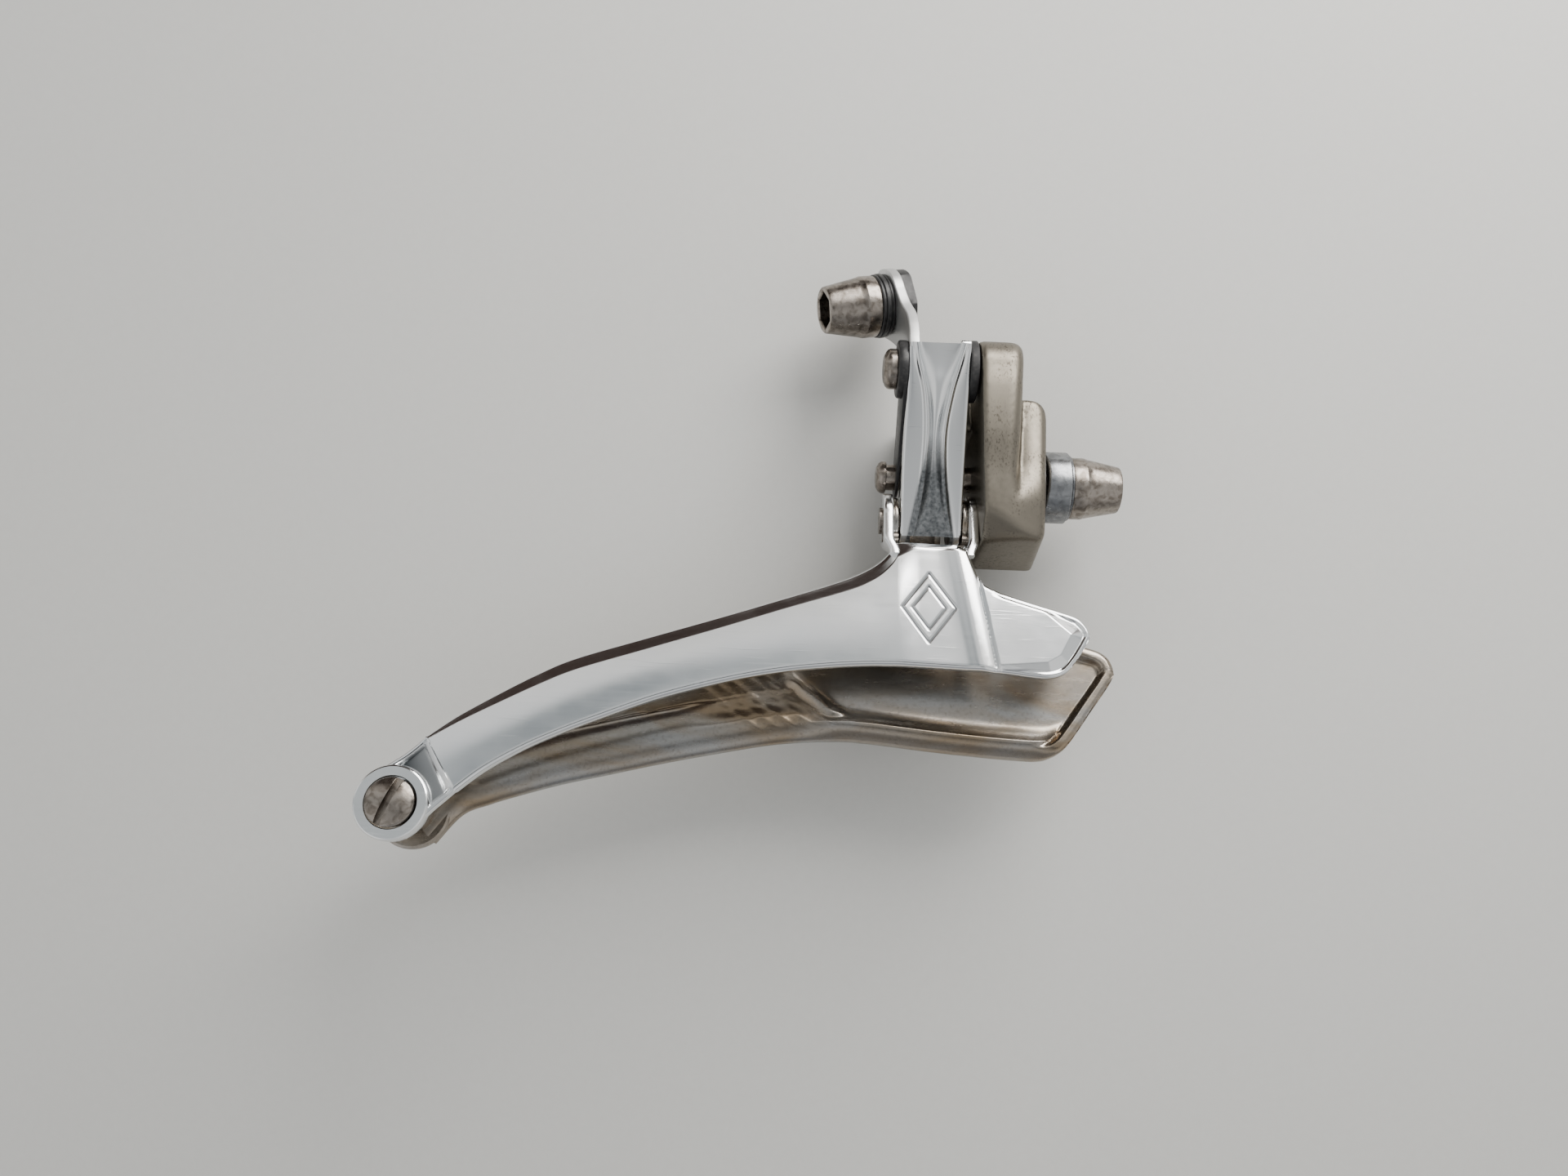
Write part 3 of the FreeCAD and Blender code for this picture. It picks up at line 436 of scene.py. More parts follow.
def tail_painted_shade(tree, x, z):
    """Painted shade on the floor of the recess between the joggle of the outer plate and the ring at its
    tail.
    """
    (ax, az), (bx, bz) = JOGGLE
    length = math.dist((ax, az), (bx, bz))
    dx, dz = (bx - ax) / length, (bz - az) / length
    from_x, from_z = value(tree, "SUBTRACT", x, ax), value(tree, "SUBTRACT", z, az)
    past = value(tree, "ADD", value(tree, "MULTIPLY", from_x, dz), value(tree, "MULTIPLY", from_z, -dx))
    along = value(tree, "ADD", value(tree, "MULTIPLY", from_x, dx), value(tree, "MULTIPLY", from_z, dz))
    upper = value(tree, "SUBTRACT", along, value(tree, "MULTIPLY", past, 0.22))
    reach = value(tree, "ADD", value(tree, "MULTIPLY", past, 0.12), length - 0.6)
    lower = value(tree, "SUBTRACT", reach, along)
    share = value(tree, "MULTIPLY", past, 0.2)
    floor = value(tree, "MULTIPLY", fade(tree, share, 0.08, 0.34), fade(tree, share, 0.25, 0.90, 0.62, 0.95))
    for side in (upper, lower):
        floor = value(tree, "MULTIPLY", floor, fade(tree, side, 0.45, 1.0))
    from_ring = [value(tree, "POWER", value(tree, "SUBTRACT", place, centre), 2.0)
                 for place, centre in ((x, TAIL.x), (z, TAIL.z))]
    squared = value(tree, "MULTIPLY", value(tree, "ADD", *from_ring), 0.02)
    return value(tree, "MULTIPLY", floor, fade(tree, squared, 0.54, 0.58))


def rhombus_and_painted_shade(tree):
    """Where the outer plate is dark: the engraved lines of the rhombus, and painted shade in the recess at
    the tail.
    """
    x, z = place_mm(tree)
    return value(tree, "MAXIMUM", rhombus_lines(tree, x, z), tail_painted_shade(tree, x, z))


def cage_steel():
    """Dull plated steel with brown tarnish and dark grime."""
    mat, tree, shader = material("cage_steel", (0.40, 0.38, 0.35), 0.38)
    tarnish = fade(tree, noise_field(tree, 6, 9, stretch=(3.0, 1, 1), distortion=0.5), 0.36, 0.62)
    color = mix(tree, tarnish, (0.36, 0.355, 0.345), (0.30, 0.235, 0.165))
    grime = fade(tree, noise_field(tree, 0.45, 10, offset=5.0), 0.52, 0.80, 0.0, 0.5)
    color = mix(tree, grime, color, (0.16, 0.135, 0.11))
    tree.links.new(color, shader.inputs["Base Color"])
    rough = mix(tree, noise_field(tree, 0.8, 8, stretch=(6, 1, 1)), grey(0.17), grey(0.34))
    tree.links.new(rough, shader.inputs["Roughness"])
    bump(tree, shader, noise_field(tree, 0.22, 6, stretch=(4, 1, 1)), 0.003, 0.5)
    return mat


def grey_alloy():
    """Satin titanium-grey anodising with dark pits and lighter rubbed places."""
    mat, tree, shader = material("grey_alloy", (0.33, 0.30, 0.26), 0.42)
    drift = noise_field(tree, 8, 4)
    color = mix(tree, drift, (0.185, 0.166, 0.136), (0.250, 0.226, 0.186))
    pits = fade(tree, noise_field(tree, 0.30, 9, stretch=(1, 1, 1.5)), 0.53, 0.64)
    area = fade(tree, noise_field(tree, 5, 3, offset=2.0), 0.42, 0.62, 0.05, 0.75)
    color = mix(tree, value(tree, "MULTIPLY", pits, area), color, (0.06, 0.051, 0.042))
    tree.links.new(color, shader.inputs["Base Color"])
    rough = mix(tree, noise_field(tree, 0.7, 8), grey(0.32), grey(0.50))
    tree.links.new(rough, shader.inputs["Roughness"])
    bump(tree, shader, noise_field(tree, 0.18, 6, stretch=(1, 1, 2)), 0.008, 0.5)
    return mat


def nickel_steel(name, color, dark):
    """Plated steel, mottled and warm, as on the bolts and rivets."""
    mat, tree, shader = material(name, color, 0.28)
    blotches = fade(tree, noise_field(tree, 1.2, 9, distortion=0.8), 0.42, 0.64)
    tree.links.new(mix(tree, blotches, color, dark), shader.inputs["Base Color"])
    rough = mix(tree, noise_field(tree, 0.6, 8, offset=4.0), grey(0.16), grey(0.44))
    tree.links.new(rough, shader.inputs["Roughness"])
    bump(tree, shader, noise_field(tree, 0.30, 7), 0.008, 0.5)
    return mat


def black_finish(name, color, roughness):
    """Black paint or plastic with a little dust and wear."""
    mat, tree, shader = material(name, color, roughness, 0.0)
    dust = fade(tree, noise_field(tree, 0.7, 8), 0.52, 0.78, 0.0, 0.6)
    tree.links.new(mix(tree, dust, color, (0.07, 0.066, 0.062)), shader.inputs["Base Color"])
    rough = mix(tree, noise_field(tree, 0.8, 6, offset=2.0), grey(roughness), grey(roughness + 0.25))
    tree.links.new(rough, shader.inputs["Roughness"])
    bump(tree, shader, noise_field(tree, 0.2, 5), 0.006, 0.4)
    return mat


MATERIALS = {
    "polished_alloy": polished_alloy(),
    # The outer plate's material carries the engraved rhombus and a painted shade in the recess at its tail.
    "engraved_and_shaded_alloy": polished_alloy("engraved_and_shaded_alloy", rhombus_and_painted_shade),
    # The link's material carries a painted reflection: a dark patch in the lower hollow of its web.
    "link_alloy": polished_alloy("link_alloy", link_painted_reflection),
    "satin_alloy": satin_alloy(),
    "cage_steel": cage_steel(),
    "grey_alloy": grey_alloy(),
    "nickel_steel": nickel_steel("nickel_steel", (0.33, 0.295, 0.262), (0.17, 0.147, 0.125)),
    "washer_steel": nickel_steel("washer_steel", (0.29, 0.298, 0.31), (0.19, 0.195, 0.203)),
    "spring_wire": nickel_steel("spring_wire", (0.55, 0.55, 0.56), (0.40, 0.39, 0.38)),
    "insert_steel": nickel_steel("insert_steel", (0.45, 0.45, 0.45), (0.30, 0.29, 0.28)),
    "bronze": nickel_steel("bronze", (0.50, 0.35, 0.18), (0.30, 0.20, 0.10)),
    "black_plate": black_finish("black_plate", (0.012, 0.012, 0.013), 0.30),
    "black_plastic": black_finish("black_plastic", (0.015, 0.015, 0.016), 0.45),
}


def finish_piece(obj, slot, body, *nodes, look=None):
    """Give a piece the material of its look, or else of its slot, put it in its body and hide the CAD nodes
    it stands for.
    """
    obj.data.materials.clear()
    obj.data.materials.append(MATERIALS[look or slot])
    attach(obj, body)
    if nodes:
        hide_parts(*nodes)


def paint_cad_nodes():
    """Every CAD node that stays gets the material of its slot."""
    slots = {entry["node"]: entry["material_slot"] for entry in frame["record"]["subparts"]}
    for name, obj in frame["nodes"].items():
        for place in obj.material_slots:
            place.material = MATERIALS[slots[name]]
        shade(obj, 30)


paint_cad_nodes()


# ---- cage plates ----

def columns_between(keys, counts):
    """Many columns from a few: each key column is a list of numbers, smooth between keys."""
    columns = []
    for index, count in enumerate(counts):
        before = keys[max(index - 1, 0)]
        a, b = keys[index], keys[index + 1]
        after = keys[min(index + 2, len(keys) - 1)]
        for step in range(count):
            u = step / count
            columns.append([
                0.5 * (2 * q + (r - p) * u + (2 * p - 5 * q + 4 * r - s) * u ** 2
                       + (3 * q - p - 3 * r + s) * u ** 3)
                for p, q, r, s in zip(before, a, b, after)])
    return columns


def run(keys, spacing):
    """The columns of one smooth stretch without its last one."""
    counts = [max(2, round(math.dist(a[:2], b[:2]) / spacing)) for a, b in zip(keys, keys[1:])]
    return columns_between(keys, counts)


def shell(columns, shares, height, thickness, back_rows):
    """A sheet over columns from upper (x, z) to lower (x, z), with its back at some depth.

    shares(length, column) lists the distances of a column's points from its upper end, and
    height(x, z, column, upper distance, lower distance) gives y of the face there.
    """
    front = []
    for column in columns:
        upper = Vector(column[0:2])
        lower = Vector(column[2:4])
        length = (lower - upper).length
        for distance in shares(length, column):
            place = upper.lerp(lower, distance / length)
            front.append((place.x, height(place.x, place.y, column, distance, length - distance),
                          place.y))
    count = len(columns)
    rows = len(front) // count
    vertices = list(front)
    back = {}
    for index in range(count):
        for row in back_rows:
            x, y, z = front[index * rows + row]
            back[index, row] = len(vertices)
            vertices.append((x, y + thickness(x, z, row), z))
    faces = []
    for index in range(count - 1):
        for row in range(rows - 1):
            a = index * rows + row
            faces.append((a, a + 1, a + rows + 1, a + rows))
        for r0, r1 in zip(back_rows, back_rows[1:]):
            faces.append((back[index, r0], back[index + 1, r0], back[index + 1, r1], back[index, r1]))
        for row, place in ((0, back_rows[0]), (rows - 1, back_rows[-1])):
            faces.append((index * rows + row, index * rows + rows + row, back[index + 1, place],
                          back[index, place]))
    for index in (0, count - 1):
        edge = [index * rows + row for row in range(rows)]
        rear = [back[index, row] for row in reversed(back_rows)]
        faces.append(tuple(edge + rear))
    return vertices, faces


def loft(name, loops, smooth):
    """A closed skin over loops of equal length, with flat ends."""
    count = len(loops[0])
    vertices = [point for loop in loops for point in loop]
    faces = tube_faces(len(loops), count)
    faces.append(tuple(reversed(range(count))))
    faces.append(tuple(range((len(loops) - 1) * count, len(loops) * count)))
    return make(name, vertices, faces, smooth)


def rounded_box_loop(half_x, half_y, radius, steps=5):
    """Corners of a rectangle about the origin, each one rounded."""
    radius = min(radius, half_x * 0.98, half_y * 0.98)
    points = []
    for quarter, (sx, sy) in enumerate(((1, 1), (-1, 1), (-1, -1), (1, -1))):
        centre = (sx * (half_x - radius), sy * (half_y - radius))
        points += arc(centre, radius, quarter * 90, quarter * 90 + 90, steps)
    return points


def make_ear(name, rear, width, pivot, reach, foot, lean):
    """An upright ear of a cage plate, leaning along X into the plate at its foot.

    pivot is its Y and Z, and foot the lowest and highest Y and the Z where it meets the plate.
    """
    loops = []
    top = pivot[1] + reach
    bottom = foot[2]
    for step in range(41):
        share = step / 40
        z = bottom + (top - bottom) * (1 - (1 - share) ** 1.7)
        rise = z - pivot[1]
        if rise > 0:
            half = math.sqrt(max(reach ** 2 - rise ** 2, 0.0)) if rise < reach else 0.0
            y_low, y_high = pivot[0] - half, pivot[0] + half
        else:
            slope = ramp(pivot[1], foot[2], z)
            y_low = pivot[0] - reach + (foot[0] - pivot[0] + reach) * slope
            y_high = pivot[0] + reach + (foot[1] - pivot[0] - reach) * slope ** 1.5
        half_y = max((y_high - y_low) / 2, 0.05)
        shift = lean * smoothstep(foot[2] + 2.6, foot[2] + 0.2, z)
        loops.append([(rear + width / 2 + shift + x, (y_low + y_high) / 2 + y, z)
                      for x, y in rounded_box_loop(width / 2, half_y, 0.42)])
    return loft(name, loops, 50)


OUTER_FACE = cad("outer_cage_plate")[0].y + 0.4
# The flat panel stamped into the nose, as X and Z.
PANEL = [(-11.5, -15.0), (-8.5, -29.4), (-1.3, -28.7), (0.5, -27.6), (2.1, -24.5), (-2.2, -20.9),
         (-6.0, -17.5)]
EDGE_ROLL = 0.62   # radius of the plate's lower edge
# Y and Z of the pin through the ears of both plates.
EAR_PIVOT = (0.4, -6.3)


def outline_tree(points):
    """A search tree over points along a line."""
    tree = kdtree.KDTree(len(points))
    for index, point in enumerate(points):
        tree.insert((point[0], 0, point[1]), index)
    tree.balance()
    return tree


def polygon_distance(x, z, polygon):
    """Distance from a polygon's sides, negative inside."""
    inside = False
    nearest = 1e9
    for (ax, az), (bx, bz) in zip(polygon, polygon[1:] + polygon[:1]):
        if (az > z) != (bz > z) and x < (bx - ax) * (z - az) / (bz - az) + ax:
            inside = not inside
        length = (bx - ax) ** 2 + (bz - az) ** 2
        share = min(max(((x - ax) * (bx - ax) + (z - az) * (bz - az)) / length, 0), 1)
        nearest = min(nearest, math.hypot(x - ax - share * (bx - ax), z - az - share * (bz - az)))
    return -nearest if inside else nearest


def make_outer_plate():
    """Polished outer plate: blade with a fluted upper edge, stamped nose, ears and tail ring."""
    tail = run([(-95.6, -48.3, -89.5, -56.6, 0.4), (-91.6, -45.6, -86.9, -53.4, 0.4),
                (-89.6, -43.9, -84.9, -51.4, 0.4), (-88.3, -42.5, -83.4, -50.0, 0.4)], 0.22)
    blade = run([(-88.3, -42.5, -83.4, -50.0, 0.5), (-84.5, -39.5, -79.8, -47.0, 1.0),
                 (-79.4, -36.2, -74.8, -43.9, 1.4), (-74.0, -33.0, -70.2, -41.6, 1.7),
                 (-68.7, -30.4, -65.4, -39.5, 1.85), (-58.5, -26.9, -56.4, -35.9, 1.85),
                 (-48.1, -23.4, -46.6, -33.0, 1.8), (-39.5, -20.4, -38.6, -31.3, 1.8),
                 (-32.3, -17.8, -31.9, -30.4, 2.0), (-28.6, -16.2, -28.4, -30.1, 2.25),
                 (-25.6, -14.3, -26.0, -29.95, 2.5), (-23.7, -12.2, -24.2, -29.9, 2.8),
                 (-22.9, -11.0, -22.8, -29.85, 2.6)], 0.3)
    neck = run([(-22.9, -11.0, -22.8, -29.85, 2.6), (-20.5, -11.05, -20.5, -29.9, 1.5),
                (-18.0, -11.15, -18.0, -29.95, 1.2), (-13.0, -11.3, -13.2, -30.1, 1.4)], 0.14)
    nose = run([(-13.0, -11.3, -13.2, -30.1, 0.6), (-12.4, -12.7, -12.4, -30.12, 0.6),
                (-11.7, -14.5, -11.7, -30.15, 0.6), (-10.7, -16.8, -10.7, -30.2, 0.6),
                (-9.5, -17.9, -9.4, -30.3, 0.6), (-6.2, -19.0, -6.4, -30.5, 0.6),
                (-2.8, -20.0, -3.4, -30.8, 0.6), (0.6, -20.95, -0.9, -30.85, 0.6),
                (3.0, -21.75, 1.3, -30.0, 0.6), (4.2, -22.7, 3.0, -28.0, 0.6),
                (4.8, -23.8, 4.3, -25.9, 0.6), (4.88, -24.5, 4.8, -24.95, 0.6)], 0.14)
    columns = tail + blade + neck + nose + [[4.89, -24.6, 4.88, -24.8, 0.6]]
    kinds = ["tail"] * len(tail) + ["blade"] * len(blade) + ["neck"] * len(neck) + ["nose"] * (len(nose) + 1)
    for column, kind in zip(columns, kinds):
        column.append(kind)
    edge = outline_tree([c[0:2] for c in columns if c[5] == "nose"]
                        + [c[2:4] for c in columns if c[5] == "nose"])
    joggle_a, joggle_b = Vector(JOGGLE[0]), Vector(JOGGLE[1])
    across = Vector((joggle_b.y - joggle_a.y, -(joggle_b.x - joggle_a.x))).normalized()

    def shares(length, column):
        b = min(column[4], length * 0.3)
        scale = min(length / 6.0, 1.0)
        top = [d * scale for d in (0, 0.04, 0.11, 0.21, 0.34, 0.5)]
        middle = [b * 0.3 + 0.36 * scale, b * 0.5 + 0.26 * scale, b * 0.7 + 0.15 * scale,
                  b * 0.85 + 0.08 * scale, b, b + 0.12 * scale, b + 0.3 * scale]
        bottom = [length - d * scale for d in (0.9, 0.62, 0.42, 0.26, 0.13, 0.05, 0)]
        start, end = b + 0.55 * scale, bottom[0] - 0.2 * scale
        face = [start + (end - start) * i / 99 for i in range(100)]
        return top + middle + face + bottom

    def blade_height(x, z, column, d, low):
        """A slightly crowned face, with a bevel of the column's width along its upper edge."""
        b = column[4]
        face = OUTER_FACE - 0.22 * math.sin(math.pi * ramp(b, low + d, d))
        rim = OUTER_FACE + max(0.46 * (b - 0.45), 0.0)
        if d < 0.5:
            y = rim + 1.1 * roll(d, 0.5)
        elif d < b:
            y = rim + (face - rim) * ramp(0.5, b, d)
        else:
            y = face
        return y + roll(low, EDGE_ROLL)

    def valley_at(z):
        """X of the crease between the ridge and the nose."""
        return -11.1 + (-16.1 - z) * 0.195

    def ridge_height(x, z):
        """A face that rises to the ridge and falls steeply to the crease."""
        crest = -13.3 + (-15.6 - z) * 0.197
        if x < crest:
            return OUTER_FACE - 0.34 * math.exp(-((crest - x) / 1.7) ** 2)
        return OUTER_FACE - 0.34 + 0.62 * ramp(crest, valley_at(z), x) ** 1.4

    def mark_depth(x, z):
        """How deep the lines of the double rhombus are cut."""
        u, v = abs(x - MARK[0]) / MARK[2], abs(z - MARK[1]) / MARK[3]
        line = min(abs(u + v - 1), abs(u + v - MARK_INNER) * 1.15)
        return 0.13 * (1 - smoothstep(0.025, 0.065, line))

    def tail_height(x, z, d, low):
        """Face that dips after a soft step and leaves a raised strip along both edges."""
        offset = abs((Vector((x, z)) - joggle_a).dot(across))
        side = min(d, low)
        strip = OUTER_FACE + 0.12 * smoothstep(0, 1.2, offset) + roll(side, 0.22)
        floor = OUTER_FACE + 0.42 * smoothstep(0.0, 1.0, offset) + 0.4 * smoothstep(1.0, 1.35, offset)
        floor += 0.10 * max(offset - 1.35, 0)
        return strip + (floor - strip) * smoothstep(0.62, 0.92, side)

    def neck_height(x, z, column, d, low):
        """The ridged face, which grows out of the blade."""
        ridged = ridge_height(x, z) + 0.9 * (1 - ramp(0, 1.3, d)) ** 2 + roll(low, EDGE_ROLL)
        flat = blade_height(x, z, column, d, low)
        return flat + (ridged - flat) * smoothstep(-22.9, -19.5, x) + mark_depth(x, z)

    def nose_height(x, z):
        """Past the valley a raised panel that slopes away to a flat rim."""
        y = ridge_height(x, z)
        valley, raised, sunk = valley_at(z), OUTER_FACE - 0.36, OUTER_FACE + 0.28
        if x > valley + 0.35:
            y = raised + min(max(polygon_distance(x, z, PANEL), 0) * 0.42, 0.95)
        elif x > valley - 0.1:
            y = sunk + (raised - sunk) * smoothstep(valley - 0.1, valley + 0.3, x)
        near = edge.find((x, 0, z))[2]
        flat = smoothstep(0.95, 0.55, near) * smoothstep(-9.5, -7.0, x)
        return y * (1 - flat) + (OUTER_FACE + 0.05) * flat + roll(near, 0.5 if x > -9 else 0.6)

    def height(x, z, column, d, low):
        kind = column[5]
        if kind == "blade":
            return blade_height(x, z, column, d, low)
        if kind == "tail":
            return tail_height(x, z, d, low)
        if kind == "neck":
            return neck_height(x, z, column, d, low)
        return nose_height(x, z)

    rows = len(shares(10.0, columns[0]))
    back_rows = [0, 3, 5, 10, 13, 40, 80, 112, 116, rows - 1]

    def thickness(x, z, row):
        return 1.1 if 3 <= row < rows - 4 else 0.75

    plate = make("outer_plate_skin", *shell(columns, shares, height, thickness, back_rows), 60)
    ears = [make_ear(name, rear, 1.5, EAR_PIVOT, 4.15, (-4.5, -2.6, -12.9), lean)
            for name, rear, lean in (("rear", -24.9, 0.9), ("front", -12.3, -0.7))]
    eyelet = ring_y("ring", [(-2.6, 3.6), (-4.9, 3.6), (-5.0, 3.7), (-5.0, 4.9), (-4.9, 5.08),
                             (-4.7, 5.18), (-3.0, 5.18), (-2.6, 5.0)], (TAIL.x, TAIL.z))
    return join_meshes("outer_plate", [plate] + ears + [eyelet])


finish_piece(make_outer_plate(), "polished_alloy", "cage", "outer_cage_plate", look="engraved_and_shaded_alloy")


# ---- inner plate ----

LIP_DEPTH = 5.35   # Y of the lip's crest along the lower edge
# Small pressed ridges that run across the plate: X and Z of a point on each, and its rise.
PRESSED_RIDGES = [(-50.8, -32.0, 0.09), (-48.6, -31.4, 0.06), (-46.3, -30.9, 0.11),
                  (-43.6, -30.5, 0.07), (-41.0, -30.2, 0.10)]


def make_inner_plate():
    """Inner plate: a deep pocket behind the nose that turns into a rounded rib to the tail."""
    tail = run([(-95.5, -48.9, -88.6, -56.3), (-90.2, -45.7, -85.2, -52.1), (-86.6, -43.4, -81.4, -50.4),
                (-83.0, -41.2, -77.7, -49.1), (-75.9, -36.9, -71.2, -47.1),
                (-68.7, -33.2, -64.8, -45.5), (-59.0, -29.6, -56.4, -43.4),
                (-50.0, -26.6, -48.3, -41.6), (-40.0, -23.3, -39.6, -39.9),
                (-31.0, -20.5, -31.0, -39.1), (-26.6, -18.3, -26.6, -39.2),
                (-24.2, -15.6, -24.4, -39.35), (-23.4, -14.1, -23.5, -39.45),
                (-22.75, -13.9, -22.75, -39.5)], 0.35)
    notch = run([(-22.6, -17.0, -22.6, -39.52), (-18.0, -17.0, -18.0, -39.95),
                 (-13.1, -17.0, -13.1, -40.35)], 0.35)
    nose = run([(-12.95, -14.0, -12.95, -40.37), (-12.3, -14.4, -12.3, -40.4),
                (-10.9, -17.0, -10.9, -40.5), (-7.0, -19.4, -7.0, -40.75), (0.0, -21.5, -1.2, -40.95),
                (3.6, -22.6, 1.2, -40.5), (6.8, -23.5, 3.2, -39.2), (8.8, -24.1, 5.2, -36.6),
                (10.1, -25.0, 7.4, -33.4), (10.75, -26.2, 9.5, -30.4), (10.92, -27.0, 10.6, -28.7)], 0.25)
    columns = tail + notch + nose + [[10.95, -27.3, 10.85, -28.1]]
    rim = outline_tree([c[0:2] for c in nose + [columns[-1]]] + [c[2:4] for c in columns[len(tail):]])

    def shares(length, column):
        scale = min(length / 8.0, 1.0)
        top = [d * scale for d in (0, 0.05, 0.15, 0.3, 0.5)]
        start, end = 0.7 * scale, length - 6.2 * scale
        middle = [start + (end - start) * i / 27 for i in range(28)]
        low = [length - d * scale for d in (
            5.9, 5.5, 5.1, 4.8, 4.5, 4.2, 3.95, 3.7, 3.5, 3.35, 3.2, 3.1, 3.0, 2.9, 2.8, 2.7, 2.6, 2.45,
            2.3, 2.1, 1.9, 1.7, 1.5, 1.3, 1.1, 0.9, 0.7, 0.5, 0.35, 0.22, 0.12, 0.05, 0)]
        return top + middle + low

    def lip(v):
        """Depth of the lip at a distance from the lower edge."""
        if v < 2.7:
            share = v / 2.7
            return 7.5 - (7.5 - LIP_DEPTH) * (1 - (1 - share) ** 2.0) ** 0.75
        share = ramp(2.7, 5.4, v)
        return LIP_DEPTH + 1.0 * (1 - (1 - share) ** 2.2)

    def rib(v):
        """Depth of the rounded rib towards the tail."""
        share = min(abs(v - 3.9) / 4.1, 1.0)
        return 7.45 - 1.75 * math.sqrt(max(1 - share ** 2, 0.0)) ** 1.15

    def height(x, z, column, d, low):
        lean = x + (z + 33.0) * 0.85
        pocket = smoothstep(-41.0, -31.5, lean)
        ribbed = rib(low)
        if low > 3.9:
            ribbed = ribbed + (6.75 - ribbed) * smoothstep(-58, -48, lean) * smoothstep(3.9, 6.5, low) * 0.7
        floor = lip(low)
        y = ribbed * (1 - pocket) + floor * pocket
        share = smoothstep(-53, -50, lean) * (1 - smoothstep(-35, -31.5, lean)) * smoothstep(1.8, 3.2, low)
        if share > 0:
            for ridge_x, ridge_z, rise in PRESSED_RIDGES:
                off = (x - ridge_x) * 0.574 + (z - ridge_z) * 0.819
                y -= rise * math.exp(-(off / 0.34) ** 2) * share
        wall = (x + 36.8) * 0.62 + (z + 30.8) * 0.80
        if low > 3.0:
            y -= 0.6 * math.exp(-(wall / 0.95) ** 2) * smoothstep(3.2, 4.4, low) * smoothstep(
                -39.5, -37.0, x) * (1 - smoothstep(-28, -24, x))
        if x > -9:
            near = rim.find((x, 0, z))[2]
            side = smoothstep(-2.0, 3.5, x)
            if near < 2.4:
                crest = 5.2 + 1.15 * smoothstep(1.5, 2.3, near) + roll(near, 0.9)
                y = y * (1 - side) + crest * side
        return min(y + roll(low, 0.35), 7.6)

    rows = len(shares(20.0, columns[0]))
    back_rows = [0, 3, 8, 20, 32, 40, 48, 54, 58, rows - 4, rows - 1]

    def thickness(x, z, row):
        return 0.85 if 0 < row < rows - 1 else 0.6

    plate = make("inner_skin", *shell(columns, shares, height, thickness, back_rows), 60)
    outline = arc(EAR_PIVOT, 3.6, 225, 23, 18)
    outline += [(5.0, -7.5), (11.0, -13.8)]
    outline += arc((11.9, -19.0), 3.3, 23, -135, 14)
    outline += [(7.5, -20.0), (6.4, -20.0), (6.4, -16.4)]
    outline.reverse()
    ears = [slab_x("rear", outline, -23.38, -22.6, 0.2), slab_x("front", outline, -13.1, -12.32, 0.2)]
    boss = ring_y("boss", [(6.3, 2.0), (6.15, 5.0), (6.3, 5.3), (6.6, 5.4), (7.3, 5.4), (7.5, 5.2),
                           (7.5, 2.0)], (TAIL.x, TAIL.z))
    return join_meshes("inner_plate", [plate] + ears + [boss])


finish_piece(make_inner_plate(), "cage_steel", "cage", "inner_cage_plate")


# ---- bolts, pins and washers ----

CLAMP_X = -Vector(next(j["axis"] for j in frame["record"]["behaviour"]["joints"]
                       if j["name"] == "clamp_bolt_turn"))
CLAMP_Y = Vector((0, 0, 1)).cross(CLAMP_X).normalized()
CLAMP_Z = CLAMP_X.cross(CLAMP_Y)


def pose_clamp(obj):
    """Move a piece built about the X axis onto the axis of the cable clamp."""
    turn = Matrix((CLAMP_X, CLAMP_Y, CLAMP_Z)).transposed().to_4x4()
    obj.data.transform(Matrix.Translation(EYE * MM) @ turn)
    return obj


def hexagon_radius(across_flats):
    """Radius of a hexagon's wall as a function of the angle."""
    def radius(angle):
        return across_flats / 2 / math.cos((angle % (math.pi / 3)) - math.pi / 6)
    return radius


SOCKET = 5.0   # across the flats of the hexagon in both bolts


def conical_bolt(name, seat, tip, shank_end, way):
    """Socket bolt whose head has a short barrel and a long cone; way is its head's direction."""
    length = abs(tip - seat)
    outer = [(0.0, 2.5), (0.0, 4.5), (0.12, 4.66), (0.3, 4.7), (2.05, 4.7), (2.2, 4.66), (2.28, 4.6)]
    outer += [(2.3 + (length - 3.1) * i / 6, 4.58 + (3.66 - 4.58) * i / 6) for i in range(1, 7)]
    outer += rounded([(length - 0.75, 3.65), (length, 3.5), (length, 3.0)], 0.5, 6)[1:]
    line = [(shank_end, 0.4), (shank_end, 2.1), (shank_end + way * 0.35, 2.5)]
    line += [(seat + way * a, r) for a, r in outer]
    wall = hexagon_radius(SOCKET)
    line += [(tip - way * 0.02, lambda angle: wall(angle) + 0.12), (tip - way * 0.2, wall)]
    line += [(tip - way * 3.6, wall), (tip - way * 3.62, lambda angle: wall(angle) - 0.4)]
    line += [(tip - way * 4.4, 0.3)]
    return turned(name, line, sharp=26)


def clamp_extent(node_name):
    """How far a clamp piece reaches along the clamp axis, from the CAD node's vertices."""
    reach = [(v.co / MM - EYE).dot(CLAMP_X) for v in frame["nodes"][node_name].data.vertices]
    return min(reach), max(reach)


clamp_seat = clamp_extent("cable_clamp_washer")[0] - 0.02
clamp_bolt = pose_clamp(conical_bolt("clamp_bolt", clamp_seat, *clamp_extent("cable_clamp_bolt"), -1))
finish_piece(clamp_bolt, "nickel_steel", "clamp_bolt_body", "cable_clamp_bolt")

low, high = cad("mounting_bolt")
mounting_seat = cad("mounting_washer")[1].x + 0.01
mounting_bolt = conical_bolt("mounting_bolt_visual", mounting_seat, high.x, low.x, 1)
finish_piece(mounting_bolt, "nickel_steel", "mounting_bolt_body", "mounting_bolt")


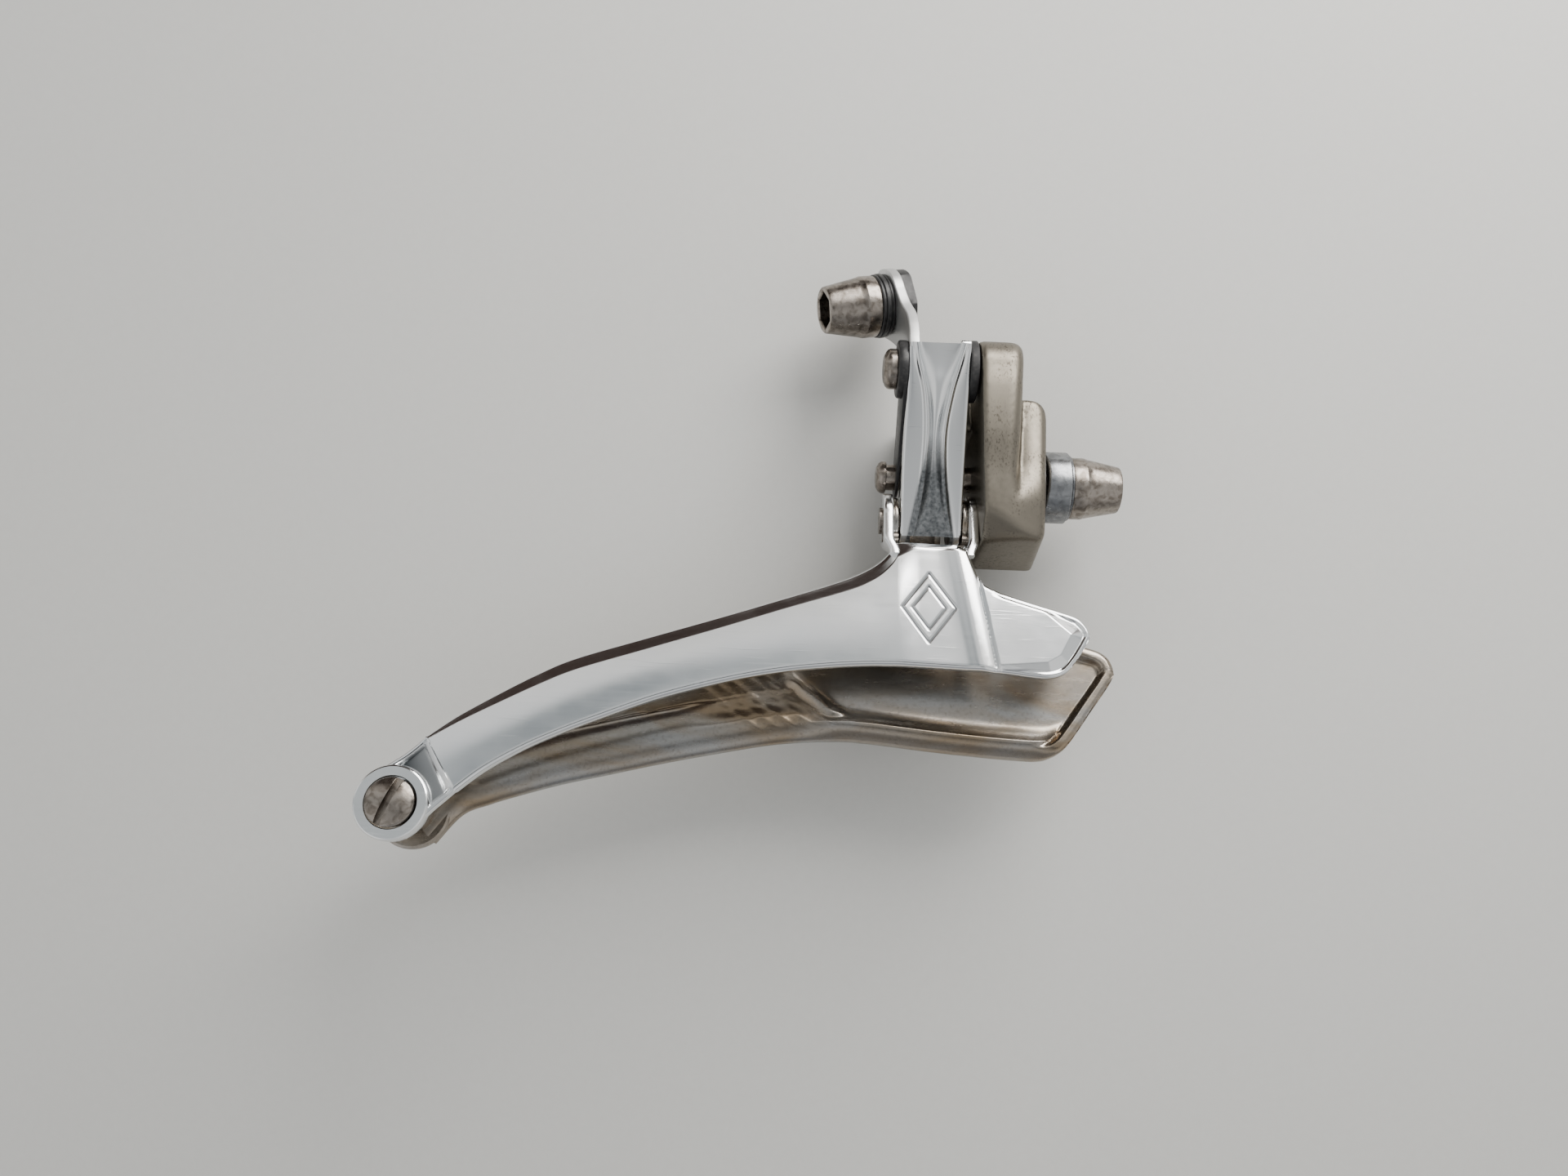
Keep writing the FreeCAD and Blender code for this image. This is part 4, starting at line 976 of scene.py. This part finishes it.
def make_clamp_washer():
    """Stack of a cable washer and a thin plate, with the groove that the cable lies in."""
    rear, front = clamp_extent("cable_clamp_washer")
    line = [(rear, 2.56), (rear, 4.5), (rear + 0.1, 4.72), (rear + 0.2, 4.8), (rear + 0.42, 4.8),
            (rear + 0.5, 4.66), (rear + 0.58, 4.66), (rear + 0.66, 4.84), (rear + 0.75, 4.9),
            (front - 0.75, 4.9), (front - 0.66, 4.78), (front - 0.58, 4.66), (front - 0.5, 4.66),
            (front - 0.42, 4.78), (front - 0.12, 4.8), (front, 4.66), (front, 2.56)]
    disc = ring("clamp_washer", line)
    cable_radius, cable_aside = 0.65, 3.5
    forward = Matrix.Translation(Vector((front - cable_radius, 0, 0)) * MM)
    slant = Matrix.Rotation(math.radians(20), 4, "X")
    aside = Matrix.Translation(Vector((0, cable_aside, 0)) * MM)
    upright = Matrix.Rotation(math.radians(90), 4, "Y")
    groove = turned("groove", [(-12, cable_radius), (12, cable_radius)], segments=48)
    groove.data.transform(forward @ (slant @ aside) @ upright)
    mouth = block("mouth", (0, cable_aside - cable_radius, -12), (1.2, cable_aside + cable_radius, 12))
    mouth.data.transform(forward @ slant)
    boolean(disc, groove, "DIFFERENCE")
    boolean(disc, mouth, "DIFFERENCE")
    shade(disc, 28)
    return pose_clamp(disc)


def make_clamp_nut():
    """Round nut with two flats."""
    rear, front = clamp_extent("cable_clamp_nut")
    nut = ring("clamp_nut", rounded(
        [(front - 0.5, 2.56), (front, 2.8), (front, 5.3), (rear, 5.3), (rear, 2.56), (front - 0.6, 2.56)],
        0.3, 4))
    for low, high in ((-9, -4.65), (4.65, 9)):
        boolean(nut, block("flat", (-3, low, -9), (9, high, 9)), "DIFFERENCE")
    shade(nut, 30)
    return pose_clamp(nut)


finish_piece(make_clamp_washer(), "black_plate", "outer_link_body", "cable_clamp_washer")
finish_piece(make_clamp_nut(), "black_plate", "outer_link_body", "cable_clamp_nut")


def make_mounting_washer():
    """Round washer with a rounded front edge and a rear face curved like the seat."""
    (rear, _, _), (front, _, _) = cad("mounting_washer")
    segments = 120
    curved = [(0.0, 2.65), (0.0, 5.2), (0.12, 5.38), (0.3, 5.45)]
    flat = rounded([(front - 2.0, 5.45), (front - 0.42, 5.45), (front - 0.42, 4.92)], 1.0, 7)
    flat += [(front - 0.34, 4.86), (front - 0.26, 4.98), (front - 0.06, 5.0), (front, 4.9), (front, 2.65)]
    vertices = [(x + rear + SEAT_RADIUS - math.sqrt(SEAT_RADIUS ** 2 - y ** 2), y, z)
                for ahead, radius in curved for x, y, z in circle(ahead, radius, segments)]
    vertices += [point for x, radius in flat for point in circle(x, radius, segments)]
    return make("mounting_washer_visual", vertices, ring_faces(len(curved) + len(flat), segments), 30)


finish_piece(make_mounting_washer(), "washer_steel", "base", "mounting_washer")


def headed_pin(name, node_name, head, length):
    """Pivot pin with a domed head at its rear end, of this radius and length."""
    (rear, _, _), (front, _, _) = cad(node_name)
    axis = axis_of(node_name)
    dome = [(rear + (1 - math.cos(math.radians(a))) * 0.28, head * 0.72 * math.sin(math.radians(a)))
            for a in range(6, 91, 12)]
    line = dome + [(rear + 0.45, head * 0.86), (rear + 0.75, head * 0.96), (rear + 1.05, head * 0.998),
                   (rear + 1.3, head), (rear + length - 0.08, head), (rear + length, head - 0.08),
                   (rear + length + 0.01, 2.0), (front - 0.3, 2.0), (front, 1.7)]
    return turned(name, line, axis, sharp=30)


finish_piece(headed_pin("outer_pin", "outer_pivot_pin", 3.0, 2.08), "nickel_steel", "base",
             "outer_pivot_pin")
finish_piece(headed_pin("inner_pin", "inner_pivot_pin", 2.5, 1.6), "nickel_steel", "base",
             "inner_pivot_pin")


def stadium(upper, upper_radius, lower, lower_radius):
    """Outline of a strap around two circles."""
    axis = Vector((lower[0] - upper[0], lower[1] - upper[1]))
    lean = math.asin((upper_radius - lower_radius) / axis.length)
    base = math.degrees(math.atan2(axis.y, axis.x))
    spread = 90 - math.degrees(lean)
    return (arc(upper, upper_radius, base + spread, base + 360 - spread, 28)
            + arc(lower, lower_radius, base - spread, base + spread, 20))


def make_rear_cheek():
    """Strap round both fixed pins, with a boss at the outer one."""
    (rear, _, _), (front, _, _) = cad("rear_cheek")
    strap = slab_x("strap", stadium(OUTER_PIN, 4.2, INNER_PIN, 3.1), -22.88, front, 0.12)
    boss = turned("boss", [(rear, 4.0), (rear + 0.1, 4.2), (rear + 0.3, 4.3), (front - 0.3, 4.3),
                           (front - 0.02, 4.2)], OUTER_PIN)
    cheek = join_meshes("rear_cheek_visual", [strap, boss])
    shade(cheek, 35)
    return cheek


def make_thrust_washer():
    """Washer between the outer link and the body."""
    (rear, _, _), (front, _, _) = cad("link_thrust_washer")
    line = [(rear + 0.3, 2.05), (rear, 2.1), (rear, 4.6), (front, 4.6), (front, 2.05), (rear + 0.4, 2.05)]
    return ring("thrust_washer", rounded(line, 0.25, 4), OUTER_PIN)


finish_piece(make_rear_cheek(), "black_plate", "base", "rear_cheek")
finish_piece(make_thrust_washer(), "black_plastic", "base", "link_thrust_washer")


def make_tail_screw():
    """Slotted screw with a low dome, standing in the ring at the tail."""
    low, high = cad("tail_screw")
    line = [(low.y + 1.5 * (1 - math.cos(math.asin(min(r / 4.4, 1)))) * 1.55, r)
            for r in (0.25, 0.7, 1.2, 1.7, 2.2, 2.6, 2.95, 3.2)]
    line += [(low.y + 1.1, 3.36), (low.y + 1.3, 3.4), (-4.99, 3.4), (-4.98, 1.9), (high.y - 0.3, 1.9),
             (high.y, 1.6)]
    obj = turned("tail_screw_visual", line, (0, 0), sharp=32)
    stand = Matrix.Rotation(math.radians(90), 4, "Z")
    obj.data.transform(Matrix.Translation(Vector((TAIL.x, 0, TAIL.z)) * MM) @ stand)
    slot = block("slot", (-0.5, -9, -5), (0.5, low.y + 1.45, 5))
    slot.data.transform(Matrix.Translation(Vector((TAIL.x, 0, TAIL.z)) * MM)
                        @ Matrix.Rotation(math.radians(22), 4, "Y"))
    boolean(obj, slot, "DIFFERENCE")
    apply(obj, "BEVEL", width=0.07 * MM, segments=2, limit_method="ANGLE", angle_limit=math.radians(45))
    shade(obj, 35)
    return obj


finish_piece(make_tail_screw(), "nickel_steel", "cage", "tail_screw")


# ---- outer link and cable arm ----

LINK_DOWN = Vector((0, math.sin(LINK_ANGLE), -math.cos(LINK_ANGLE)))
LINK_OUT = Vector((0, -math.cos(LINK_ANGLE), -math.sin(LINK_ANGLE)))


def on_link(x, down, out):
    """A point so far down the link from the outer pivot and so far out of its pivot plane."""
    place = OUTER_PIVOT + LINK_DOWN * down + LINK_OUT * out
    return (x, place.y, place.z)


def through(table, place):
    """Height at a place on a smooth curve through a table of (position, height) pairs."""
    positions, heights = zip(*table)
    if place <= positions[0]:
        return heights[0]
    if place >= positions[-1]:
        return heights[-1]
    index = max(i for i, position in enumerate(positions) if position <= place)
    index = min(index, len(table) - 2)
    slopes = []
    for i in (index, index + 1):
        low, high = max(i - 1, 0), min(i + 1, len(table) - 1)
        slopes.append((heights[high] - heights[low]) / (positions[high] - positions[low]))
    span = positions[index + 1] - positions[index]
    u = (place - positions[index]) / span
    return ((2 * u ** 3 - 3 * u ** 2 + 1) * heights[index] + (u ** 3 - 2 * u ** 2 + u) * span * slopes[0]
            + (3 * u ** 2 - 2 * u ** 3) * heights[index + 1] + (u ** 3 - u ** 2) * span * slopes[1])


# Tables of the link's face: how far down the link, and X there.
LEFT_EDGE = [(-4.0, -22.3), (2.2, -22.3), (5.8, -22.45), (9.3, -22.55), (15.4, -22.55), (24.6, -22.3)]
LEFT_RIDGE = [(-4.0, -21.4), (-1.0, -20.9), (3.3, -19.8), (9.1, -19.3), (15.2, -19.45), (20.0, -19.9),
              (24.6, -20.7)]
RIGHT_RIDGE = [(-4.0, -14.2), (-1.0, -14.85), (3.2, -15.85), (9.0, -16.6), (15.1, -16.35),
               (20.0, -15.7), (24.6, -14.8)]
RIGHT_EDGE = [(-4.0, -13.3), (24.6, -13.35)]
LINK_TOP = -3.9
LINK_END = 24.5


def make_link_web():
    """The outboard face of the link with its two waisted ridges and the hollow between them."""
    rows = 90
    # How far out the flat sides and the inner face lie, and half the width of a ridge.
    side, inner, half = 3.75, 2.75, 0.45
    loops = []
    for step in range(rows + 1):
        s = LINK_TOP + (LINK_END - LINK_TOP) * step / rows
        left, right = through(LEFT_EDGE, s), through(RIGHT_EDGE, s)
        a, b = through(LEFT_RIDGE, s), through(RIGHT_RIDGE, s)
        crest = 4.35 - 0.28 * smoothstep(16, LINK_END, s) - 0.25 * smoothstep(0.5, LINK_TOP, s)

        def ridge(u):
            """Height across a ridge, from its outer foot to the brim of the hollow."""
            rise = math.sin(math.pi * 0.5 * smoothstep(0, 0.62, u))
            return side + 0.12 + (crest - side - 0.12) * rise - 0.18 * smoothstep(0.72, 1.0, u)

        dip = 0.36 * smoothstep(LINK_TOP, 2.0, s) * (1 - 0.35 * smoothstep(15, 24, s)) + 0.10
        sag = 0.72 * math.sin(math.pi * ramp(LINK_TOP, LINK_END, s))
        line = [(left, side - 1.2), (left, side - 0.5), (left + 0.05, side - 0.2), (left + 0.2, side - 0.04),
                (left + 0.4, side)]
        start = left + 0.4
        for i in range(1, 9):
            u = i / 9
            line.append((start + (a - half - start) * u, side + 0.12 * u * u))
        line += [(a - half + 2 * half * i / 8, ridge(i / 8)) for i in range(9)]
        for i in range(1, 18):
            u = i / 18
            bowl = math.sin(math.pi * u) ** 0.55
            line.append((a + half + (b - a - 2 * half) * u, crest - 0.18 - (dip + sag) * bowl))
        line += [(b + half - 2 * half * (1 - i / 8), ridge(1 - i / 8)) for i in range(9)]
        end = right - 0.4
        for i in range(1, 9):
            u = i / 9
            line.append((b + half + (end - b - half) * u, side + 0.12 * (1 - u) ** 2))
        line += [(right - 0.4, side), (right - 0.2, side - 0.04), (right - 0.05, side - 0.2),
                 (right, side - 0.5), (right, side - 1.2)]
        line.append((right - 1.5, inner - 0.15))
        line += [(right - 1.5 - (right - left - 3.0) * i / 6, inner) for i in range(1, 6)]
        line.append((left + 1.5, inner - 0.15))
        loops.append([on_link(x, s, h) for x, h in line])
    return loft("web", loops, 50)


def link_side(x_rear, x_front, top):
    """A flange of the link, from its rounded head at the upper pivot to its foot."""
    outline = [(-3.75, 3.3 + top), (-3.3, 3.75 + top)] + arc((0, 0), 4.15, 140, 0, 14)[2:]
    outline += [(3.0, -3.0), (2.2, -5.0), (2.2, -19.0), (3.2, -20.6)]
    outline += arc((0, -22.77), 3.9, 20, -130, 14)
    outline += [(-3.75, -LINK_END + 0.2), (-3.75, -12.0)]
    posed = []
    for y, z in outline:
        place = on_link(0, -z, -y)
        posed.append((place[1], place[2]))
    return slab_x("side", posed, x_rear, x_front, 0.22)


def make_cable_arm():
    """A flat strap from the rear flange up to the eye, leaning back and turning as it rises."""
    middle = -21.5
    keys = [
        (0.0, Vector((middle, -9.3, 15.4)), 3.85, 0.0),
        (0.2, Vector((middle - 0.02, -9.15, 17.6)), 3.95, 0.0),
        (0.4, Vector((middle - 0.30, -8.3, 20.2)), 4.2, 0.28),
        (0.6, Vector((middle - 1.05, -7.1, 22.6)), 4.6, 0.72),
        (0.78, EYE - CLAMP_Y * 0.9 - CLAMP_Z * 2.8, 5.2, 0.98),
        (1.0, EYE, 5.5, 1.0)]
    half = 0.8
    rings = []

    def add_ring(centre, width, turn, thickness=1.0):
        normal = Vector((1, 0, 0)).lerp(CLAMP_X, turn).normalized()
        across = Vector((0, 1, 0)).lerp(CLAMP_Y, turn).normalized()
        rings.append([tuple(centre + normal * a + across * b)
                      for a, b in rounded_box_loop(half * thickness, width, 0.2, 3)])

    for step in range(61):
        share = step / 60
        centre = Vector([through([(k[0], k[1][i]) for k in keys], share) for i in range(3)])
        add_ring(centre, through([(k[0], k[2]) for k in keys], share),
                 through([(k[0], k[3]) for k in keys], share))
    for step in range(1, 30):
        angle = math.pi / 2 * step / 29
        add_ring(EYE + CLAMP_Z * 5.55 * math.sin(angle), max(5.5 * math.cos(angle), 0.35), 1.0,
                 1.0 - 0.3 * smoothstep(1.3, 1.57, angle))
    arm = loft("arm", rings, 45)
    bore = pose_clamp(turned("bore", [(-4, 2.6), (4, 2.6)], segments=64))
    return boolean(arm, bore, "DIFFERENCE")


link_piece = join_meshes("outer_link_visual", [
    make_link_web(), link_side(-22.35, -20.75, 0.0), link_side(-14.9, -13.3, 0.75)])
finish_piece(link_piece, "polished_alloy", "outer_link_body", "outer_link", look="link_alloy")
finish_piece(make_cable_arm(), "polished_alloy", "outer_link_body", look="satin_alloy")


# ---- body ----

# How far outboard the block reaches at a height, as Z and Y.
BLOCK_NEAR = [(-11.2, -8.9), (-9.4, -9.4), (-5.6, -10.4), (-1.1, -11.4), (4.0, -12.8), (10.0, -13.9),
              (13.8, -14.2)]
BLOCK_TOP = (-9.3, 13.9)
BLOCK_LOBE = 4.95


def block_near(z):
    """How far outboard the upright block reaches at a height."""
    if z > BLOCK_TOP[1]:
        return BLOCK_TOP[0] - math.sqrt(max(BLOCK_LOBE ** 2 - (z - BLOCK_TOP[1]) ** 2, 0.0))
    return through(BLOCK_NEAR, z)


def block_far(z):
    """How far inboard the casting reaches at a height."""
    if z < 12.6:
        return 8.2
    half = math.sqrt(max(BLOCK_LOBE ** 2 - (z - BLOCK_TOP[1]) ** 2, 0.0))
    return max(8.2 - (z - 12.6) * 9.0, BLOCK_TOP[0] + half)


def make_casting():
    """The block and the forward ledge as one skin, from its outline seen from outboard."""
    top = BLOCK_TOP[1] + BLOCK_LOBE
    columns = run([(-12.0, top - 0.9, -10.75, -10.4), (-11.6, top - 0.25, -10.4, -10.8),
                   (-11.0, top - 0.02, -9.9, -11.0), (-8.9, top - 0.05, -8.7, -11.0),
                   (-6.6, top - 0.35, -7.4, -11.0), (-5.55, top - 1.1, -6.6, -11.0),
                   (-5.0, top - 2.3, -6.0, -11.0), (-4.95, 14.4, -5.6, -11.0),
                   (-5.15, 11.1, -5.2, -11.0), (-4.4, 11.0, -4.6, -11.0),
                   (-2.8, 10.8, -3.6, -11.0), (-1.8, 10.3, -2.8, -11.0), (-1.25, 9.4, -2.2, -10.8),
                   (-1.1, 8.2, -1.8, -10.2)], 0.16)
    columns.append([-1.1, 7.9, -1.7, -9.6])
    rim = outline_tree([c[0:2] for c in columns] + [c[2:4] for c in columns]
                       + [(columns[0][0], top - 0.9 - 0.3 * i) for i in range(66)]
                       + [(columns[-1][0] - 0.01 * i, 7.9 - 0.3 * i) for i in range(59)])

    def shares(length, column):
        return [length * i / 150 for i in range(151)]

    def near_face(x, z, *_):
        """How far outboard the skin lies: block, ledge, and both merged towards the foot."""
        block = block_near(z)
        valley = -5.45 - 0.05 * (12.0 - z)
        side = block + roll(valley - x, 2.1) if x < valley else block + 2.1
        ledge = -8.3 + 0.10 * (x + 3.6) ** 2
        share = smoothstep(valley - 0.05, valley + 0.7, x)
        stepped = side + (max(ledge, side) - side) * share
        merged = block + 0.03 * max(x + 10.5, 0) ** 2.05
        y = stepped + (merged - stepped) * smoothstep(0.5, -6.5, z)
        facet, soft = -8.9 - (x + 8.4) * 0.44, 0.9
        if z < facet + soft:
            y += 1.25 * (max(facet - z, 0) if z < facet - soft else (facet + soft - z) ** 2 / (4 * soft))
        edge = rim.find((x, 0, z))[2]
        return min(y + roll(edge, 1.0), -2.0)

    def thickness(x, z, row):
        return max(block_far(z) - near_face(x, z), 0.3)

    vertices, faces = shell(columns, shares, near_face, thickness, list(range(0, 151, 2)))
    leaned = [(x + 0.085 * (y + 7.5) * smoothstep(-6.0, -2.5, x), y, z) for x, y, z in vertices]
    return make("casting", leaned, faces, 60)


def make_body():
    """One grey casting with a web for the limit screws, bored for the pins and the bolt."""
    pieces = [make_casting(),
              slab_x("web", [(-3.4, 7.6), (-3.4, 12.7), (8.2, 12.7), (8.2, 7.6)], -22.0, -10.5, 0.5)]
    body = join_meshes("body_visual", pieces)
    round_off(body, 0.24, 9)
    seat = turned("seat", [(-30, SEAT_RADIUS), (30, SEAT_RADIUS)], segments=256)
    seat.data.transform(Matrix.Translation(Vector((SEAT_RADIUS - SEAT_DEPTH, 0, 0)) * MM)
                        @ Matrix.Rotation(math.radians(90), 4, "Y"))
    boolean(body, seat, "DIFFERENCE")
    for start, end, radius, axis in ((-13.0, -5.0, 2.02, OUTER_PIN), (-13.0, -6.4, 2.02, INNER_PIN),
                                     (-5.8, 3.0, 3.52, (0, 0))):
        boolean(body, turned("bore", [(start, radius), (end, radius)], axis), "DIFFERENCE")
    for node_name in ("low_limit_screw", "high_limit_screw"):
        low, high = cad(node_name)
        bore = turned("bore", [(6.9, 1.3), (14, 1.3)], segments=48)
        upright = Matrix.Rotation(math.radians(-90), 4, "Y")
        centre = (low + high) / 2
        bore.data.transform(Matrix.Translation(Vector((centre.x, centre.y, 0)) * MM) @ upright)
        boolean(body, bore, "DIFFERENCE")
    shade(body, 40)
    return body


finish_piece(make_body(), "grey_alloy", "base", "body")


# ---- stage ----

CAMERA_AT = (-39.35, -167.85, -69.0)
CAMERA_RIGHT = Vector((0.99926, -0.01122, 0.03671))
CAMERA_UP = Vector((-0.03839, -0.29216, 0.9556))
LENS = 27.04
TABLE_DEPTH = 12.4


def place_camera():
    """The camera looks at the outboard side from a little below."""
    camera = bpy.data.cameras.new("camera")
    camera.lens = LENS
    camera.sensor_width = 36
    camera.clip_start = 0.005
    camera.clip_end = 20
    obj = bpy.data.objects.new("camera", camera)
    back = CAMERA_RIGHT.cross(CAMERA_UP).normalized()
    up = back.cross(CAMERA_RIGHT).normalized()
    turn = Matrix((CAMERA_RIGHT.normalized(), up, back)).transposed()
    obj.matrix_world = Matrix.Translation(Vector(CAMERA_AT) * MM) @ turn.to_4x4()
    bpy.context.collection.objects.link(obj)
    bpy.context.scene.camera = obj
    return -back


def make_table(forward):
    """The pale table behind the object, clear from behind so that it hides nothing."""
    mesh = bpy.data.meshes.new("table")
    centre = Vector((-40, 0, -15))
    centre += forward * (TABLE_DEPTH - centre.dot(forward))
    across = Vector((1, 0, 0))
    along = across.cross(forward).normalized()
    corners = [centre + across * a + along * b
               for a, b in ((-190, -260), (-190, 112), (190, 112), (190, -260))]
    mesh.from_pydata([c * MM for c in corners], [], [(0, 1, 2, 3)])
    obj = bpy.data.objects.new("table", mesh)
    bpy.context.collection.objects.link(obj)
    if mesh.polygons[0].normal.dot(forward) > 0:
        mesh.flip_normals()
    mat, tree, shader = material("table", (0.66, 0.655, 0.63), 0.75, 0.0)
    grain = noise_field(tree, 1.2, 6)
    tree.links.new(mix(tree, grain, (0.66, 0.655, 0.63), (0.70, 0.695, 0.67)), shader.inputs["Base Color"])
    clear = node(tree, "ShaderNodeBsdfTransparent")
    side = node(tree, "ShaderNodeNewGeometry")
    chooser = node(tree, "ShaderNodeMixShader")
    output = tree.nodes["Material Output"]
    tree.links.new(side.outputs["Backfacing"], chooser.inputs["Fac"])
    tree.links.new(shader.outputs["BSDF"], chooser.inputs[1])
    tree.links.new(clear.outputs["BSDF"], chooser.inputs[2])
    tree.links.new(chooser.outputs["Shader"], output.inputs["Surface"])
    mesh.materials.append(mat)


def area_light(name, place, target, size, power, color):
    """A soft square lamp."""
    light = bpy.data.lights.new(name, "AREA")
    light.shape = "SQUARE"
    light.size = size * MM
    light.energy = power
    light.color = color
    obj = bpy.data.objects.new(name, light)
    obj.location = Vector(place) * MM
    aim = (Vector(target) - Vector(place)).normalized()
    obj.rotation_euler = aim.to_track_quat("-Z", "Y").to_euler()
    bpy.context.collection.objects.link(obj)


# Colours of the room by the upward part of the direction.
ROOM_LEVELS = [
    (-1.0, (0.28, 0.29, 0.31)), (-0.85, (0.34, 0.35, 0.36)), (-0.75, (0.74, 0.75, 0.76)),
    (-0.65, (0.84, 0.85, 0.85)), (-0.55, (0.56, 0.57, 0.575)), (-0.45, (0.50, 0.51, 0.515)),
    (-0.2, (0.55, 0.56, 0.56)), (0.0, (0.74, 0.75, 0.75)), (0.03, (0.70, 0.71, 0.71)),
    (0.07, (0.42, 0.45, 0.46)), (0.12, (0.46, 0.49, 0.50)), (0.20, (0.84, 0.85, 0.85)),
    (0.28, (0.97, 0.97, 0.96)), (0.42, (0.97, 0.96, 0.93)), (0.52, (0.45, 0.42, 0.39)),
    (0.59, (0.05, 0.033, 0.028)), (1.0, (0.04, 0.028, 0.024))]


def spot(tree, x, z, centre, radii):
    """Squared distance from the middle of an ellipse in the room, 1 on its rim."""
    return value(tree, "ADD", *[
        value(tree, "POWER", value(tree, "DIVIDE", value(tree, "SUBTRACT", place, middle), radius), 2.0)
        for place, middle, radius in zip((x, z), centre, radii)])


def make_world():
    """A soft room: pale at eye level, dark and warm overhead, with two darker spots in front."""
    world = bpy.data.worlds.new("room")
    bpy.context.scene.world = world
    world.use_nodes = True
    tree = world.node_tree
    where = node(tree, "ShaderNodeTexCoord")
    split = node(tree, "ShaderNodeSeparateXYZ")
    tree.links.new(where.outputs["Generated"], split.inputs["Vector"])
    x, y, z = split.outputs
    height = value(tree, "MULTIPLY_ADD", z, 0.5, 0.5)
    levels_node = node(tree, "ShaderNodeValToRGB")
    stops = levels_node.color_ramp.elements
    while len(stops) > 1:
        stops.remove(stops[-1])
    for index, (level, color) in enumerate(ROOM_LEVELS):
        stop = stops[0] if index == 0 else stops.new((level + 1) / 2)
        stop.position = (level + 1) / 2
        stop.color = (*color, 1)
    tree.links.new(height, levels_node.inputs["Fac"])
    aside = value(tree, "MULTIPLY", fade(tree, value(tree, "ABSOLUTE", x), 0.28, 0.50),
                  fade(tree, value(tree, "MULTIPLY", z, -1.0), 0.02, 0.25))
    front = mix(tree, aside, levels_node.outputs["Color"], (0.92, 0.92, 0.91))
    dark = fade(tree, spot(tree, x, z, (0.10, -0.30), (0.22, 0.10)), 0.35, 1.6, 1.0, 0.0)
    front = mix(tree, dark, front, (0.03, 0.04, 0.05))
    dim = value(tree, "MULTIPLY", spot(tree, x, z, (-0.125, 0.08), (0.07, 0.17)), 0.5)
    front = mix(tree, fade(tree, dim, 0.15, 0.95, 1.0, 0.0), front, (0.28, 0.31, 0.325))
    toward = value(tree, "MULTIPLY", y, -1.0)
    facing = fade(tree, toward, 0.02, 0.22)
    behind = levels(tree, z, 0.0, 0.5, (0.42, 0.42, 0.42), (0.66, 0.66, 0.65))
    room = tree.nodes["Background"]
    room.inputs["Strength"].default_value = 1.0
    tree.links.new(mix(tree, facing, behind, front), room.inputs["Color"])
    plain = node(tree, "ShaderNodeBackground")
    plain.inputs["Color"].default_value = (0.62, 0.61, 0.58, 1)
    plain.inputs["Strength"].default_value = 0.8
    path = node(tree, "ShaderNodeLightPath")
    chooser = node(tree, "ShaderNodeMixShader")
    tree.links.new(path.outputs["Is Camera Ray"], chooser.inputs["Fac"])
    tree.links.new(room.outputs["Background"], chooser.inputs[1])
    tree.links.new(plain.outputs["Background"], chooser.inputs[2])
    tree.links.new(chooser.outputs["Shader"], tree.nodes["World Output"].inputs["Surface"])


make_table(place_camera())
make_world()
area_light("key", (120, -260, 220), (-40, 0, -10), 260, 2.2, (1.0, 0.98, 0.95))
area_light("back", (-40, 260, 120), (-40, 0, -10), 400, 2.0, (0.95, 0.97, 1.0))
